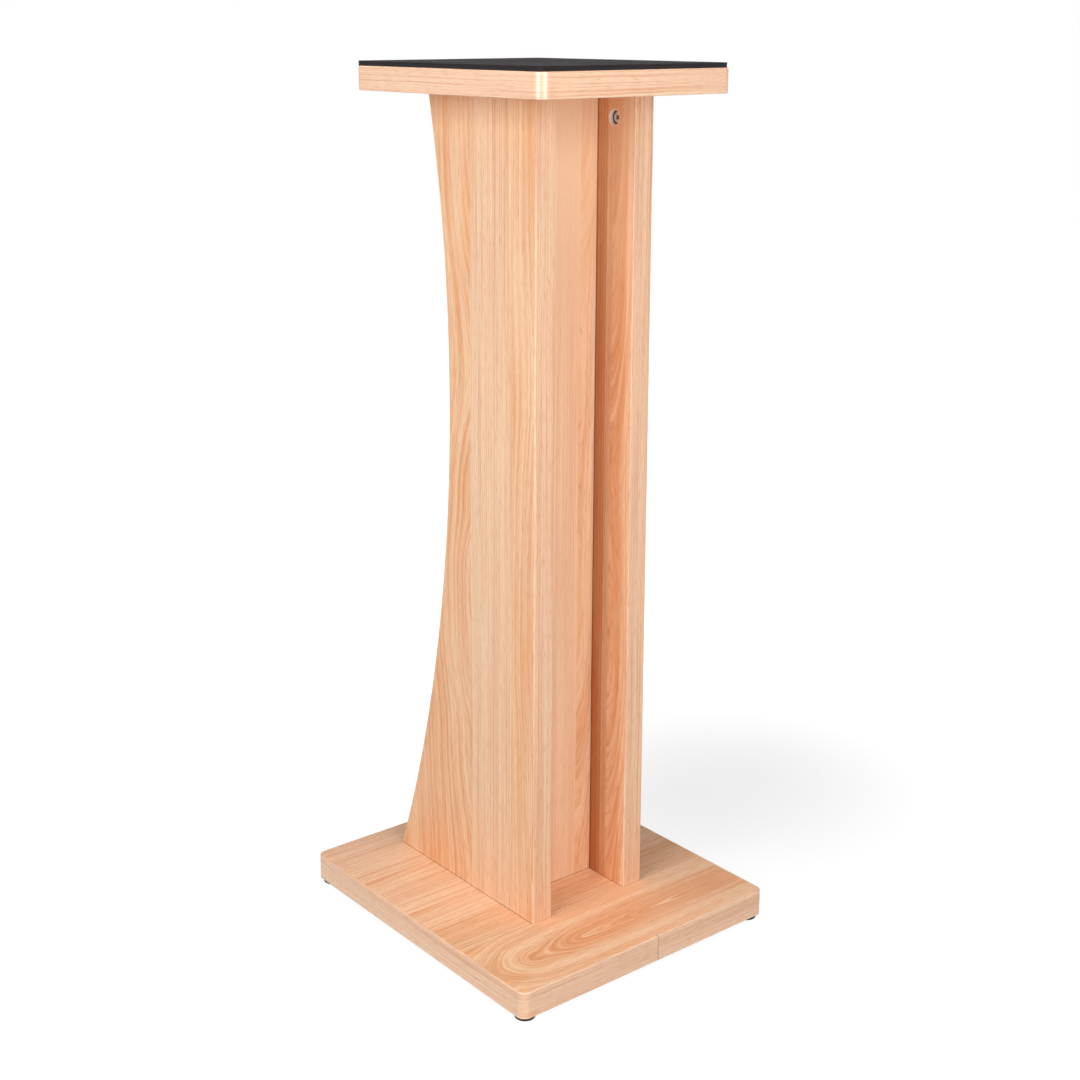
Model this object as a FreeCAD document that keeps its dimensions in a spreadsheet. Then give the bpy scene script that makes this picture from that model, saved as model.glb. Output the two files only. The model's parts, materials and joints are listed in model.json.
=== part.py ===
import FreeCAD, Part
import os

import Sketcher

# A floor stand for one loudspeaker, made of laminated boards that come apart for packing.
#
# X runs across the stand, Y from the channel side (low) to the curved side (high), Z up.
# The origin lies on the floor, under the middle of the base board. All sizes are in millimetres.
#
# The column is two side panels with a recessed centre panel between them. The side panels have one
# straight edge each, which borders the open cable channel, and one long concave edge.

SIZES = {
    # Base board and its feet
    "base_width": 336,
    "base_depth": 371,
    "base_thickness": 28,
    "base_corner_radius": 10,
    "foot_height": 4.5,
    "foot_diameter": 22,
    "foot_taper": 0.6,              # how much the foot's radius shrinks towards the floor
    "foot_rim_radius": 0.8,
    "foot_inset": 13,               # from both edges of the base board to the foot's centre
    # Top board and its pad
    "top_width": 244,
    "top_depth": 300,
    "top_thickness": 25,
    "top_corner_radius": 10,
    "pad_thickness": 5,
    "pad_margin": 1,                # board left bare round the pad
    # Column
    "column_height": 852,
    "side_thickness": 25,
    "inner_width": 101.6,           # between the side panels
    "straight_edge_offset": 88,     # from the stand's middle to the straight edges
    "waist_depth": 140.7,           # side panel's depth where it is narrowest
    "waist_height": 534,            # of the narrowest place above the base board
    "curve_radius": 1536,
    "channel_depth": 56,
    "centre_thickness": 25,
    # Edge bands
    "band_thickness": 2,
    "band_glue": 0.05,
    "band_arris": 1.2,              # rounding of the base and top bands
    "column_band_bevel": 1,
    "seam_gap": 0.3,
    "base_seam_offset": 11.2,       # of the base band's butt joint from the middle
    # Cam locks and their bolts
    "cam_bore_diameter": 15,
    "cam_play": 0.08,               # radial, between cam and bore
    "cam_height": 12,
    "cam_floor_play": 0.3,
    "cam_axis_depth": 8,            # of the bolt's axis below the cam's face
    "cam_to_edge": 25,              # of the bore's centre from the board's edge
    "cam_arris": 0.3,
    "cam_swing_play": 4,            # degrees that the cavity reaches past the head at each end
    "cross_length": 5.6,
    "cross_width": 1.3,
    "cross_depth": 2.6,
    "head_diameter": 6,
    "head_thickness": 2,
    "head_seat": 4.9,               # of the head's shoulder from the cam's axis
    "head_play": 0.3,
    "neck_diameter": 4,
    "shank_diameter": 7,
    "shank_hole_diameter": 8,
    "shank_play": 0.6,              # between the shank's end and the cam's rim
    "bolt_thread_diameter": 6,
    "bolt_thread_length": 11,
    "thread_play": 0.05,            # radial, of every thread in its pilot hole
    "pilot_depth_play": 1,
    # Places of the top fittings
    "channel_cam_inset": 31,        # from the straight edge
    "bay_cam_inset": 45,            # from the centre panel's back
    "dowel_spacing": 26,            # from each of these cams to its dowel
    "centre_top_dowel_offset": 30,
    # Places of the centre panel's fittings, from its lower and upper ends
    "centre_cam_inset": 120,
    "centre_dowel_inset": 70,
    # Wooden dowels
    "dowel_diameter": 8,
    "dowel_length": 30,
    "dowel_play": 0.05,
    "dowel_end_play": 1,
    "dowel_chamfer": 1,
    # Screws up through the base board
    "screw_length": 50,
    "screw_head_diameter": 10,
    "screw_shoulder_diameter": 7,
    "screw_shoulder_length": 14,
    "screw_thread_diameter": 5.4,
    "screw_tip_length": 3,
    "screw_hole_play": 0.1,
    "screw_sink": 0.5,              # of the head below the board's face
    "screw_socket": 4,              # across the corners of the hexagon
    "screw_socket_depth": 3,
    "screw_inset_straight": 40,     # from the straight edge
    "screw_inset_curved": 45,       # from the curved edge's foot
    "centre_screw_offset": 30,
    # Screws that hold the feet
    "foot_screw_diameter": 4,
    "foot_screw_length": 16,
    "foot_screw_head": 7.6,
    "foot_screw_head_height": 1.8,
    "foot_screw_recess": 0.8,
    "foot_screw_hole_play": 0.2,
}

# Heights and places that follow from the sizes, as expressions
BASE_TOP = "(Sizes.foot_height + Sizes.base_thickness)"
COLUMN_TOP = f"({BASE_TOP} + Sizes.column_height)"
TOP_FACE = f"({COLUMN_TOP} + Sizes.top_thickness)"
HALF_INNER = "(Sizes.inner_width / 2)"
STRAIGHT_EDGE = "(-Sizes.straight_edge_offset)"
CURVE_CENTRE = f"({STRAIGHT_EDGE} + Sizes.waist_depth + Sizes.curve_radius)"
CURVED_FOOT = f"({CURVE_CENTRE} - sqrt(Sizes.curve_radius ^ 2 - Sizes.waist_height ^ 2))"
CENTRE_BACK = f"({STRAIGHT_EDGE} + Sizes.channel_depth + Sizes.centre_thickness)"
CENTRE_MIDDLE = f"({CENTRE_BACK} - Sizes.centre_thickness / 2)"
BAND_BUILD = "(Sizes.band_thickness + Sizes.band_glue)"

CHANNEL_CAM = f"({STRAIGHT_EDGE} + Sizes.channel_cam_inset)"
BAY_CAM = f"({CENTRE_BACK} + Sizes.bay_cam_inset)"
CHANNEL_DOWEL = f"({CHANNEL_CAM} + Sizes.dowel_spacing)"
BAY_DOWEL = f"({BAY_CAM} + Sizes.dowel_spacing)"
SIDE_MIDDLE = f"({HALF_INNER} + Sizes.side_thickness / 2)"
CENTRE_CAM = f"({HALF_INNER} - Sizes.cam_to_edge)"
SIDE_SCREWS = (
    f"({STRAIGHT_EDGE} + Sizes.screw_inset_straight)",
    f"({CURVED_FOOT} - Sizes.screw_inset_curved)",
)

CAM_RADIUS = "(Sizes.cam_bore_diameter / 2 - Sizes.cam_play)"
CAVITY_CORE = "(Sizes.head_seat - Sizes.head_thickness - Sizes.head_play)"
CAVITY_RIM = "(sqrt(Sizes.head_seat ^ 2 + (Sizes.head_diameter / 2) ^ 2) + Sizes.head_play)"
CAVITY_HALF = "(Sizes.head_diameter / 2 + Sizes.head_play)"
SLIT_HALF = "(Sizes.neck_diameter / 2 + Sizes.head_play)"
BOLT_PILOT = "(Sizes.bolt_thread_diameter + 2 * Sizes.thread_play)"
BOLT_PILOT_DEPTH = "(Sizes.bolt_thread_length + Sizes.pilot_depth_play)"
DOWEL_HOLE = "(Sizes.dowel_diameter + 2 * Sizes.dowel_play)"
DOWEL_HOLE_DEPTH = "(Sizes.dowel_length / 2 + Sizes.dowel_end_play)"
SCREW_PILOT = "(Sizes.screw_thread_diameter + 2 * Sizes.thread_play)"
SCREW_PILOT_DEPTH = (
    "(Sizes.screw_length + Sizes.screw_sink - Sizes.base_thickness + Sizes.pilot_depth_play)"
)
FOOT_SEAT = "(Sizes.foot_screw_recess + Sizes.foot_screw_head_height)"
FOOT_PILOT = "(Sizes.foot_screw_diameter + 2 * Sizes.thread_play)"
FOOT_PILOT_DEPTH = (
    f"({FOOT_SEAT} + Sizes.foot_screw_length - Sizes.foot_height + Sizes.pilot_depth_play)"
)

# How far a cutting outline reaches past the face that it opens on, and how close to its
# computed place, in millimetres, an edge lies that is picked to be rounded or bevelled
OVERCUT = "1"
CLOSE = 1e-4

X = FreeCAD.Vector(1, 0, 0)
Y = FreeCAD.Vector(0, 1, 0)
Z = FreeCAD.Vector(0, 0, 1)

doc = FreeCAD.newDocument("speaker_stand")
sizes = doc.addObject("Spreadsheet::Sheet", "Sizes")
for row, (alias, size) in enumerate(SIZES.items(), start=1):
    sizes.set(f"A{row}", alias)
    sizes.set(f"B{row}", str(size))
    sizes.setAlias(f"B{row}", alias)
doc.recompute()


def value(expression):
    """The number that an expression on the sheet gives now."""
    return float(sizes.evalExpression(expression.replace("Sizes.", "")))


def add_body(label):
    body = doc.addObject("PartDesign::Body", label)
    body.Label = label
    return body


def place(piece, x="0", y="0", z="0", rotation=FreeCAD.Rotation()):
    """Put a piece at x, y, z, each an expression."""
    piece.Placement = FreeCAD.Placement(FreeCAD.Vector(), rotation)
    for axis, expression in (("x", x), ("y", y), ("z", z)):
        piece.setExpression(f"Placement.Base.{axis}", expression)


def add_sketch(body, plane, lift=None):
    """A sketch on one of the body's own planes, lifted along the plane's normal."""
    sketch = body.newObject("Sketcher::SketchObject", f"{body.Name}_sketch")
    support = next(item for item in body.Origin.OriginFeatures if item.Role == plane)
    sketch.AttachmentSupport = [(support, "")]
    sketch.MapMode = "FlatFace"
    if lift:
        sketch.setExpression("AttachmentOffset.Base.z", lift)
    return sketch


def drive(sketch, constraint, expression):
    """Add a dimension and bind it to its expression."""
    index = sketch.addConstraint(constraint)
    sketch.setExpression(f"Constraints[{index}]", expression)


def pin(sketch, geometry, point, x, y):
    """Fix one point of a line or arc at x, y from the sketch's origin."""
    if x == "0":
        sketch.addConstraint(Sketcher.Constraint("PointOnObject", geometry, point, -2))
    else:
        drive(sketch, Sketcher.Constraint("DistanceX", -1, 1, geometry, point, value(x)), x)
    if y == "0":
        sketch.addConstraint(Sketcher.Constraint("PointOnObject", geometry, point, -1))
    else:
        drive(sketch, Sketcher.Constraint("DistanceY", -1, 1, geometry, point, value(y)), y)


def add_polygon(sketch, points):
    """A closed outline through points, each a pair of expressions."""
    corners = [FreeCAD.Vector(value(x), value(y), 0) for x, y in points]
    lines = [
        sketch.addGeometry(Part.LineSegment(corner, corners[(index + 1) % len(corners)]))
        for index, corner in enumerate(corners)
    ]
    for index, line in enumerate(lines):
        following = lines[(index + 1) % len(lines)]
        sketch.addConstraint(Sketcher.Constraint("Coincident", line, 2, following, 1))
        pin(sketch, line, 1, *points[index])


def add_rectangle(sketch, low_x, high_x, low_y, high_y):
    add_polygon(sketch, [(low_x, low_y), (high_x, low_y), (high_x, high_y), (low_x, high_y)])


def add_circle(sketch, x, y, diameter):
    centre = FreeCAD.Vector(value(x), value(y), 0)
    circle = sketch.addGeometry(Part.Circle(centre, Z, value(diameter) / 2))
    pin(sketch, circle, 3, x, y)
    drive(sketch, Sketcher.Constraint("Diameter", circle, value(diameter)), diameter)


def add_pad(body, sketch, length, backwards=False):
    pad = body.newObject("PartDesign::Pad", f"{body.Name}_pad")
    pad.Profile = sketch
    pad.setExpression("Length", length)
    pad.Reversed = backwards
    return pad


def add_pocket(body, sketch, depth, backwards=False):
    """Cut a sketch into its body, and make sure that it took something away."""
    doc.recompute()
    before = body.Shape.Volume
    pocket = body.newObject("PartDesign::Pocket", f"{body.Name}_pocket")
    pocket.Profile = sketch
    pocket.setExpression("Length", depth)
    pocket.Reversed = backwards
    doc.recompute()
    if body.Shape.Volume >= before:
        raise RuntimeError(f"a pocket of {body.Label} cuts nothing")
    return pocket


def add_turning(body, kind, sketch, angle=None):
    """Turn a sketch about its own vertical axis, a full turn or an angle across the sketch."""
    turning = body.newObject(f"PartDesign::{kind}", f"{body.Name}_{kind.lower()}")
    turning.Profile = sketch
    turning.ReferenceAxis = (sketch, ["V_Axis"])
    if angle:
        turning.setExpression("Angle", angle)
        turning.Midplane = True
    return turning


def edges_where(body, test):
    """Names of the body's edges that pass a test on points, in the body's own frame."""
    doc.recompute()
    chosen = []
    for number, edge in enumerate(body.Tip.Shape.Edges, start=1):
        if all(test(point) for point in edge.discretize(5)):
            chosen.append(f"Edge{number}")
    if not chosen:
        raise RuntimeError(f"{body.Label} has no such edge")
    return chosen


def add_dressing(body, kind, edges, size_name, size):
    """Round or bevel some edges of the body."""
    base = body.Tip
    dressing = body.newObject(f"PartDesign::{kind}", f"{body.Name}_{kind.lower()}")
    dressing.Base = (base, edges)
    dressing.setExpression(size_name, size)
    return dressing


def near(number, target):
    return abs(number - target) < CLOSE


def radius_at(point, x=0, y=0):
    """How far a point is from an upright axis."""
    return ((point.x - x) ** 2 + (point.y - y) ** 2) ** 0.5


def add_group(label, master, places):
    """Copies of one fastener, kept together under one name."""
    copies = []
    for x, y, z, rotation in places:
        copy = doc.addObject("App::Link", f"{label}_copy")
        copy.LinkedObject = master
        place(copy, x, y, z, rotation)
        copies.append(copy)
    group = doc.addObject("Part::Compound", label)
    group.Label = label
    group.Links = copies
    return group


def facing(normal, towards):
    """Rotation that turns Z to normal and X to towards."""
    return FreeCAD.Rotation(towards, normal.cross(towards), normal, "ZXY")


def add_board(label, width, depth, thickness, corner_radius):
    """A flat board with rounded corners, less the edge band that goes round it."""
    body = add_body(label)
    half_x = f"({width} / 2 - {BAND_BUILD})"
    half_y = f"({depth} / 2 - {BAND_BUILD})"
    sketch = add_sketch(body, "XY_Plane")
    add_rectangle(sketch, f"-{half_x}", half_x, f"-{half_y}", half_y)
    add_pad(body, sketch, thickness)
    round_corners(body, half_x, half_y, f"{corner_radius} - {BAND_BUILD}")
    return body


def round_corners(body, half_x, half_y, radius):
    """Round the upright edges that stand at the corners of a rectangle."""
    corner_x, corner_y = value(half_x), value(half_y)
    corners = edges_where(body, lambda p: near(abs(p.x), corner_x) and near(abs(p.y), corner_y))
    add_dressing(body, "Fillet", corners, "Radius", radius)


def add_ring_band(label, size, corner_radius, height, seam_x, seam_side):
    """Edging wrapped once round a board. Its ends meet in a butt joint on one short side."""
    width, depth, thickness = size
    body = add_body(label)
    place(body, z=height)
    half_x, half_y = f"({width} / 2)", f"({depth} / 2)"
    inner_x, inner_y = f"({half_x} - Sizes.band_thickness)", f"({half_y} - Sizes.band_thickness)"
    sketch = add_sketch(body, "XY_Plane")
    add_rectangle(sketch, f"-{half_x}", half_x, f"-{half_y}", half_y)
    add_rectangle(sketch, f"-{inner_x}", inner_x, f"-{inner_y}", inner_y)
    add_pad(body, sketch, thickness)
    round_corners(body, half_x, half_y, corner_radius)
    round_corners(body, inner_x, inner_y, f"{corner_radius} - Sizes.band_thickness")

    # Both arrises of the outer face are rounded
    top, radius = value(thickness), value(corner_radius)
    straight_x, straight_y = value(half_x) - radius, value(half_y) - radius
    arrises = edges_where(
        body,
        lambda p: (near(p.z, 0) or near(p.z, top))
        and on_outline(p, straight_x, straight_y, radius),
    )
    add_dressing(body, "Fillet", arrises, "Radius", "Sizes.band_arris")

    # The butt joint
    gap = add_sketch(body, "XY_Plane")
    outside = f"({seam_side} * ({half_y} + {OVERCUT}))"
    inside = f"({seam_side} * ({inner_y} - {OVERCUT}))"
    low_x, high_x = f"({seam_x} - Sizes.seam_gap / 2)", f"({seam_x} + Sizes.seam_gap / 2)"
    add_rectangle(gap, low_x, high_x, outside, inside)
    add_pocket(body, gap, thickness, backwards=True)
    return body


def on_outline(point, straight_x, straight_y, radius):
    """Whether a point stands on the side faces of a block with rounded corners. The straight
    parts of its sides reach as far as straight_x and straight_y from its middle."""
    over_x, over_y = abs(point.x) - straight_x, abs(point.y) - straight_y
    if over_x > CLOSE and over_y > CLOSE:
        return near((over_x ** 2 + over_y ** 2) ** 0.5, radius)
    return near(over_x, radius) or near(over_y, radius)


def add_curve(sketch, radius):
    """The long concave edge from the top of the column to its foot, as one arc."""
    centre = FreeCAD.Vector(value(CURVE_CENTRE), value("Sizes.waist_height"), 0)
    circle = Part.Circle(centre, Z, value(radius))
    ends = []
    for height in ("Sizes.column_height", "0"):
        rise = value(height) - centre.y
        reach = (value(radius) ** 2 - rise ** 2) ** 0.5
        ends.append(circle.parameter(centre + FreeCAD.Vector(-reach, rise, 0)))
    curve = sketch.addGeometry(Part.ArcOfCircle(circle, *ends))
    pin(sketch, curve, 3, CURVE_CENTRE, "Sizes.waist_height")
    drive(sketch, Sketcher.Constraint("Radius", curve, value(radius)), radius)
    return curve


def join(sketch, first, first_end, second, second_end):
    """A level line between the ends of two edges."""
    points = sketch.getPoint(first, first_end), sketch.getPoint(second, second_end)
    line = sketch.addGeometry(Part.LineSegment(*points))
    sketch.addConstraint(Sketcher.Constraint("Coincident", first, first_end, line, 1))
    sketch.addConstraint(Sketcher.Constraint("Coincident", line, 2, second, second_end))
    sketch.addConstraint(Sketcher.Constraint("Horizontal", line))
    return line


def add_side_panel(label, outward):
    """A side panel. Its inner face lies on its own YZ plane, and outward is 1 or -1."""
    body = add_body(label)
    place(body, f"({outward} * {HALF_INNER})", "0", BASE_TOP)
    to_right = outward > 0

    outline = add_sketch(body, "YZ_Plane")
    front = f"({STRAIGHT_EDGE} + {BAND_BUILD})"
    curve = add_curve(outline, f"(Sizes.curve_radius + {BAND_BUILD})")
    foot = FreeCAD.Vector(value(front), 0, 0)
    head = FreeCAD.Vector(value(front), value("Sizes.column_height"), 0)
    edge = outline.addGeometry(Part.LineSegment(foot, head))
    pin(outline, edge, 1, front, "0")
    pin(outline, edge, 2, front, "Sizes.column_height")
    join(outline, edge, 2, curve, 1)
    join(outline, edge, 1, curve, 2)
    add_pad(body, outline, "Sizes.side_thickness", backwards=not to_right)

    # Bores of the two top cams
    bores = add_sketch(body, "YZ_Plane")
    for y in (CHANNEL_CAM, BAY_CAM):
        add_circle(bores, y, "(Sizes.column_height - Sizes.cam_to_edge)", "Sizes.cam_bore_diameter")
    depth = cam_bore_depth("Sizes.side_thickness")
    add_pocket(body, bores, depth, backwards=to_right)

    # Pilot holes and dowel holes for the centre panel
    for inset, diameter, depth in (
        ("Sizes.centre_cam_inset", BOLT_PILOT, BOLT_PILOT_DEPTH),
        ("Sizes.centre_dowel_inset", DOWEL_HOLE, DOWEL_HOLE_DEPTH),
    ):
        holes = add_sketch(body, "YZ_Plane")
        for height in both_ends(inset):
            add_circle(holes, CENTRE_MIDDLE, height, diameter)
        add_pocket(body, holes, depth, backwards=to_right)

    # Upright holes in the top and bottom edges, all in the middle of the board
    middle = f"({outward} * Sizes.side_thickness / 2)"
    add_edge_holes(body, middle, (CHANNEL_CAM, BAY_CAM), "Sizes.shank_hole_diameter",
                   "Sizes.cam_to_edge", "Sizes.column_height")
    add_edge_holes(body, middle, (CHANNEL_DOWEL, BAY_DOWEL), DOWEL_HOLE,
                   DOWEL_HOLE_DEPTH, "Sizes.column_height")
    add_edge_holes(body, middle, SIDE_SCREWS, SCREW_PILOT, SCREW_PILOT_DEPTH)
    return body


def cam_bore_depth(board_thickness):
    """A cam's bore reaches past the middle of the board, where the bolt runs."""
    return (
        f"({board_thickness} / 2 - Sizes.cam_axis_depth"
        " + Sizes.cam_height + Sizes.cam_floor_play)"
    )


def add_edge_holes(body, x, rows, diameter, depth, top=None):
    """Upright blind holes at one x, down from the top end or up from the bottom end."""
    sketch = add_sketch(body, "XY_Plane", top)
    for y in rows:
        add_circle(sketch, x, y, diameter)
    add_pocket(body, sketch, depth, backwards=top is None)


def add_straight_band(label, outward):
    """Edging on a side panel's straight edge."""
    body = add_body(label)
    place(body, f"({outward} * {HALF_INNER})", "0", BASE_TOP)
    outline = add_sketch(body, "YZ_Plane")
    inside = f"({STRAIGHT_EDGE} + Sizes.band_thickness)"
    add_rectangle(outline, STRAIGHT_EDGE, inside, "0", "Sizes.column_height")
    add_pad(body, outline, "Sizes.side_thickness", backwards=outward < 0)
    front, across = value(STRAIGHT_EDGE), value("Sizes.side_thickness")
    arrises = edges_where(
        body, lambda p: near(p.y, front) and (near(p.x, 0) or near(abs(p.x), across))
    )
    add_dressing(body, "Chamfer", arrises, "Size", "Sizes.column_band_bevel")
    return body


def add_curved_band(label, outward):
    """Edging on a side panel's concave edge."""
    body = add_body(label)
    place(body, f"({outward} * {HALF_INNER})", "0", BASE_TOP)
    outline = add_sketch(body, "YZ_Plane")
    outer = add_curve(outline, "Sizes.curve_radius")
    inner = add_curve(outline, "(Sizes.curve_radius + Sizes.band_thickness)")
    top = join(outline, inner, 1, outer, 1)
    bottom = join(outline, inner, 2, outer, 2)
    height = "Sizes.column_height"
    drive(outline, Sketcher.Constraint("DistanceY", -1, 1, top, 1, value(height)), height)
    outline.addConstraint(Sketcher.Constraint("PointOnObject", bottom, 1, -1))
    add_pad(body, outline, "Sizes.side_thickness", backwards=outward < 0)

    # Only the arc's own edges on the show face are bevelled
    centre_y, centre_z = value(CURVE_CENTRE), value("Sizes.waist_height")
    radius, across = value("Sizes.curve_radius"), value("Sizes.side_thickness")
    arrises = edges_where(
        body,
        lambda p: near(((p.y - centre_y) ** 2 + (p.z - centre_z) ** 2) ** 0.5, radius)
        and (near(p.x, 0) or near(abs(p.x), across)),
    )
    add_dressing(body, "Chamfer", arrises, "Size", "Sizes.column_band_bevel")
    return body


def add_centre_panel():
    """The recessed board between the side panels. Its back lies on its own XZ plane."""
    body = add_body("centre_panel")
    place(body, "0", CENTRE_BACK, BASE_TOP)
    outline = add_sketch(body, "XY_Plane")
    add_rectangle(outline, f"-{HALF_INNER}", HALF_INNER, "(-Sizes.centre_thickness)", "0")
    add_pad(body, outline, "Sizes.column_height")

    heights = both_ends("Sizes.centre_cam_inset")
    bores = add_sketch(body, "XZ_Plane")
    for x in mirrored(CENTRE_CAM):
        for height in heights:
            add_circle(bores, x, height, "Sizes.cam_bore_diameter")
    add_pocket(body, bores, cam_bore_depth("Sizes.centre_thickness"), backwards=True)

    # Shank holes and dowel holes in the two long edges
    middle = "(-Sizes.centre_thickness / 2)"
    for side in (-1, 1):
        for inset, diameter, depth in (
            ("Sizes.centre_cam_inset", "Sizes.shank_hole_diameter", "Sizes.cam_to_edge"),
            ("Sizes.centre_dowel_inset", DOWEL_HOLE, DOWEL_HOLE_DEPTH),
        ):
            holes = add_sketch(body, "YZ_Plane", f"({side} * {HALF_INNER})")
            for height in both_ends(inset):
                add_circle(holes, middle, height, diameter)
            add_pocket(body, holes, depth, backwards=side < 0)

    for x in mirrored("Sizes.centre_top_dowel_offset"):
        add_edge_holes(body, x, (middle,), DOWEL_HOLE, DOWEL_HOLE_DEPTH, "Sizes.column_height")
    for x in mirrored("Sizes.centre_screw_offset"):
        add_edge_holes(body, x, (middle,), SCREW_PILOT, SCREW_PILOT_DEPTH)
    return body


def both_ends(inset):
    """Heights above the base board, as far from the column's foot as from its head."""
    return inset, f"(Sizes.column_height - {inset})"


def mirrored(expression):
    """The same distance to the left and to the right."""
    return f"(-{expression})", expression


def drill(body, spots, diameter, depth):
    """Blind holes up into a board from its underside, at x and y."""
    sketch = add_sketch(body, "XY_Plane")
    for x, y in spots:
        add_circle(sketch, x, y, diameter)
    add_pocket(body, sketch, depth, backwards=True)


# Spots that more than one board shares, as x and y
TOP_BOLT_SPOTS = [(x, y) for x in mirrored(SIDE_MIDDLE) for y in (CHANNEL_CAM, BAY_CAM)]
TOP_DOWEL_SPOTS = [(x, y) for x in mirrored(SIDE_MIDDLE) for y in (CHANNEL_DOWEL, BAY_DOWEL)]
TOP_DOWEL_SPOTS += [(x, CENTRE_MIDDLE) for x in mirrored("Sizes.centre_top_dowel_offset")]
SCREW_SPOTS = [(x, y) for x in mirrored(SIDE_MIDDLE) for y in SIDE_SCREWS]
SCREW_SPOTS += [(x, CENTRE_MIDDLE) for x in mirrored("Sizes.centre_screw_offset")]
FOOT_SPOTS = {
    "channel_left_foot": ("(-1)", "(-1)"),
    "channel_right_foot": ("1", "(-1)"),
    "curved_left_foot": ("(-1)", "1"),
    "curved_right_foot": ("1", "1"),
}


def foot_spot(side_x, side_y):
    return (
        f"({side_x} * (Sizes.base_width / 2 - Sizes.foot_inset))",
        f"({side_y} * (Sizes.base_depth / 2 - Sizes.foot_inset))",
    )


def add_base_board():
    body = add_board("base_board", "Sizes.base_width", "Sizes.base_depth",
                     "Sizes.base_thickness", "Sizes.base_corner_radius")
    place(body, z="Sizes.foot_height")
    clearance = "(Sizes.screw_shoulder_diameter + 2 * Sizes.screw_hole_play)"
    drill(body, SCREW_SPOTS, clearance, "Sizes.base_thickness")
    rim = value(clearance) / 2
    centres = [(value(x), value(y)) for x, y in SCREW_SPOTS]
    rims = edges_where(
        body,
        lambda p: near(p.z, 0) and any(near(radius_at(p, x, y), rim) for x, y in centres),
    )
    sink = "((Sizes.screw_head_diameter - Sizes.screw_shoulder_diameter) / 2 + Sizes.screw_sink)"
    add_dressing(body, "Chamfer", rims, "Size", sink)
    drill(body, [foot_spot(*side) for side in FOOT_SPOTS.values()], FOOT_PILOT, FOOT_PILOT_DEPTH)
    return body


def add_top_board():
    body = add_board("top_board", "Sizes.top_width", "Sizes.top_depth",
                     "Sizes.top_thickness", "Sizes.top_corner_radius")
    place(body, z=COLUMN_TOP)
    drill(body, TOP_BOLT_SPOTS, BOLT_PILOT, BOLT_PILOT_DEPTH)
    drill(body, TOP_DOWEL_SPOTS, DOWEL_HOLE, DOWEL_HOLE_DEPTH)
    return body


def add_speaker_pad():
    body = add_body("speaker_pad")
    place(body, z=TOP_FACE)
    half_x = "(Sizes.top_width / 2 - Sizes.pad_margin)"
    half_y = "(Sizes.top_depth / 2 - Sizes.pad_margin)"
    sketch = add_sketch(body, "XY_Plane")
    add_rectangle(sketch, f"-{half_x}", half_x, f"-{half_y}", half_y)
    add_pad(body, sketch, "Sizes.pad_thickness")
    round_corners(body, half_x, half_y, "Sizes.top_corner_radius - Sizes.pad_margin")
    return body


def add_foot(label, side_x, side_y):
    """A low tapered disc, held by a screw in a deep seat."""
    body = add_body(label)
    place(body, *foot_spot(side_x, side_y))
    rim = "(Sizes.foot_diameter / 2)"
    tread = f"({rim} - Sizes.foot_taper)"
    seat = "(Sizes.foot_screw_head / 2 + Sizes.foot_screw_hole_play)"
    hole = "(Sizes.foot_screw_diameter / 2 + Sizes.foot_screw_hole_play)"
    sketch = add_sketch(body, "YZ_Plane")
    add_polygon(sketch, [
        (hole, FOOT_SEAT), (hole, "Sizes.foot_height"), (rim, "Sizes.foot_height"),
        (tread, "0"), (seat, "0"), (seat, FOOT_SEAT),
    ])
    add_turning(body, "Revolution", sketch)
    tread_radius = value(tread)
    edge = edges_where(body, lambda p: near(p.z, 0) and near(radius_at(p), tread_radius))
    add_dressing(body, "Fillet", edge, "Radius", "Sizes.foot_rim_radius")
    return body


def add_cross(body, turn):
    """A cross recess in the face on the body's own XY plane, cut towards the solid below it."""
    arm, half = "(Sizes.cross_length / 2)", "(Sizes.cross_width / 2)"
    quarter = [(arm, half), (half, half), (half, arm)]
    points = quarter[:]
    points += [(f"(-{x})", y) for x, y in reversed(quarter)]
    points += [(f"(-{x})", f"(-{y})") for x, y in quarter]
    points += [(x, f"(-{y})") for x, y in reversed(quarter)]
    sketch = add_sketch(body, "XY_Plane")
    sketch.AttachmentOffset = FreeCAD.Placement(FreeCAD.Vector(), FreeCAD.Rotation(Z, turn))
    add_polygon(sketch, points)
    return sketch


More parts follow.
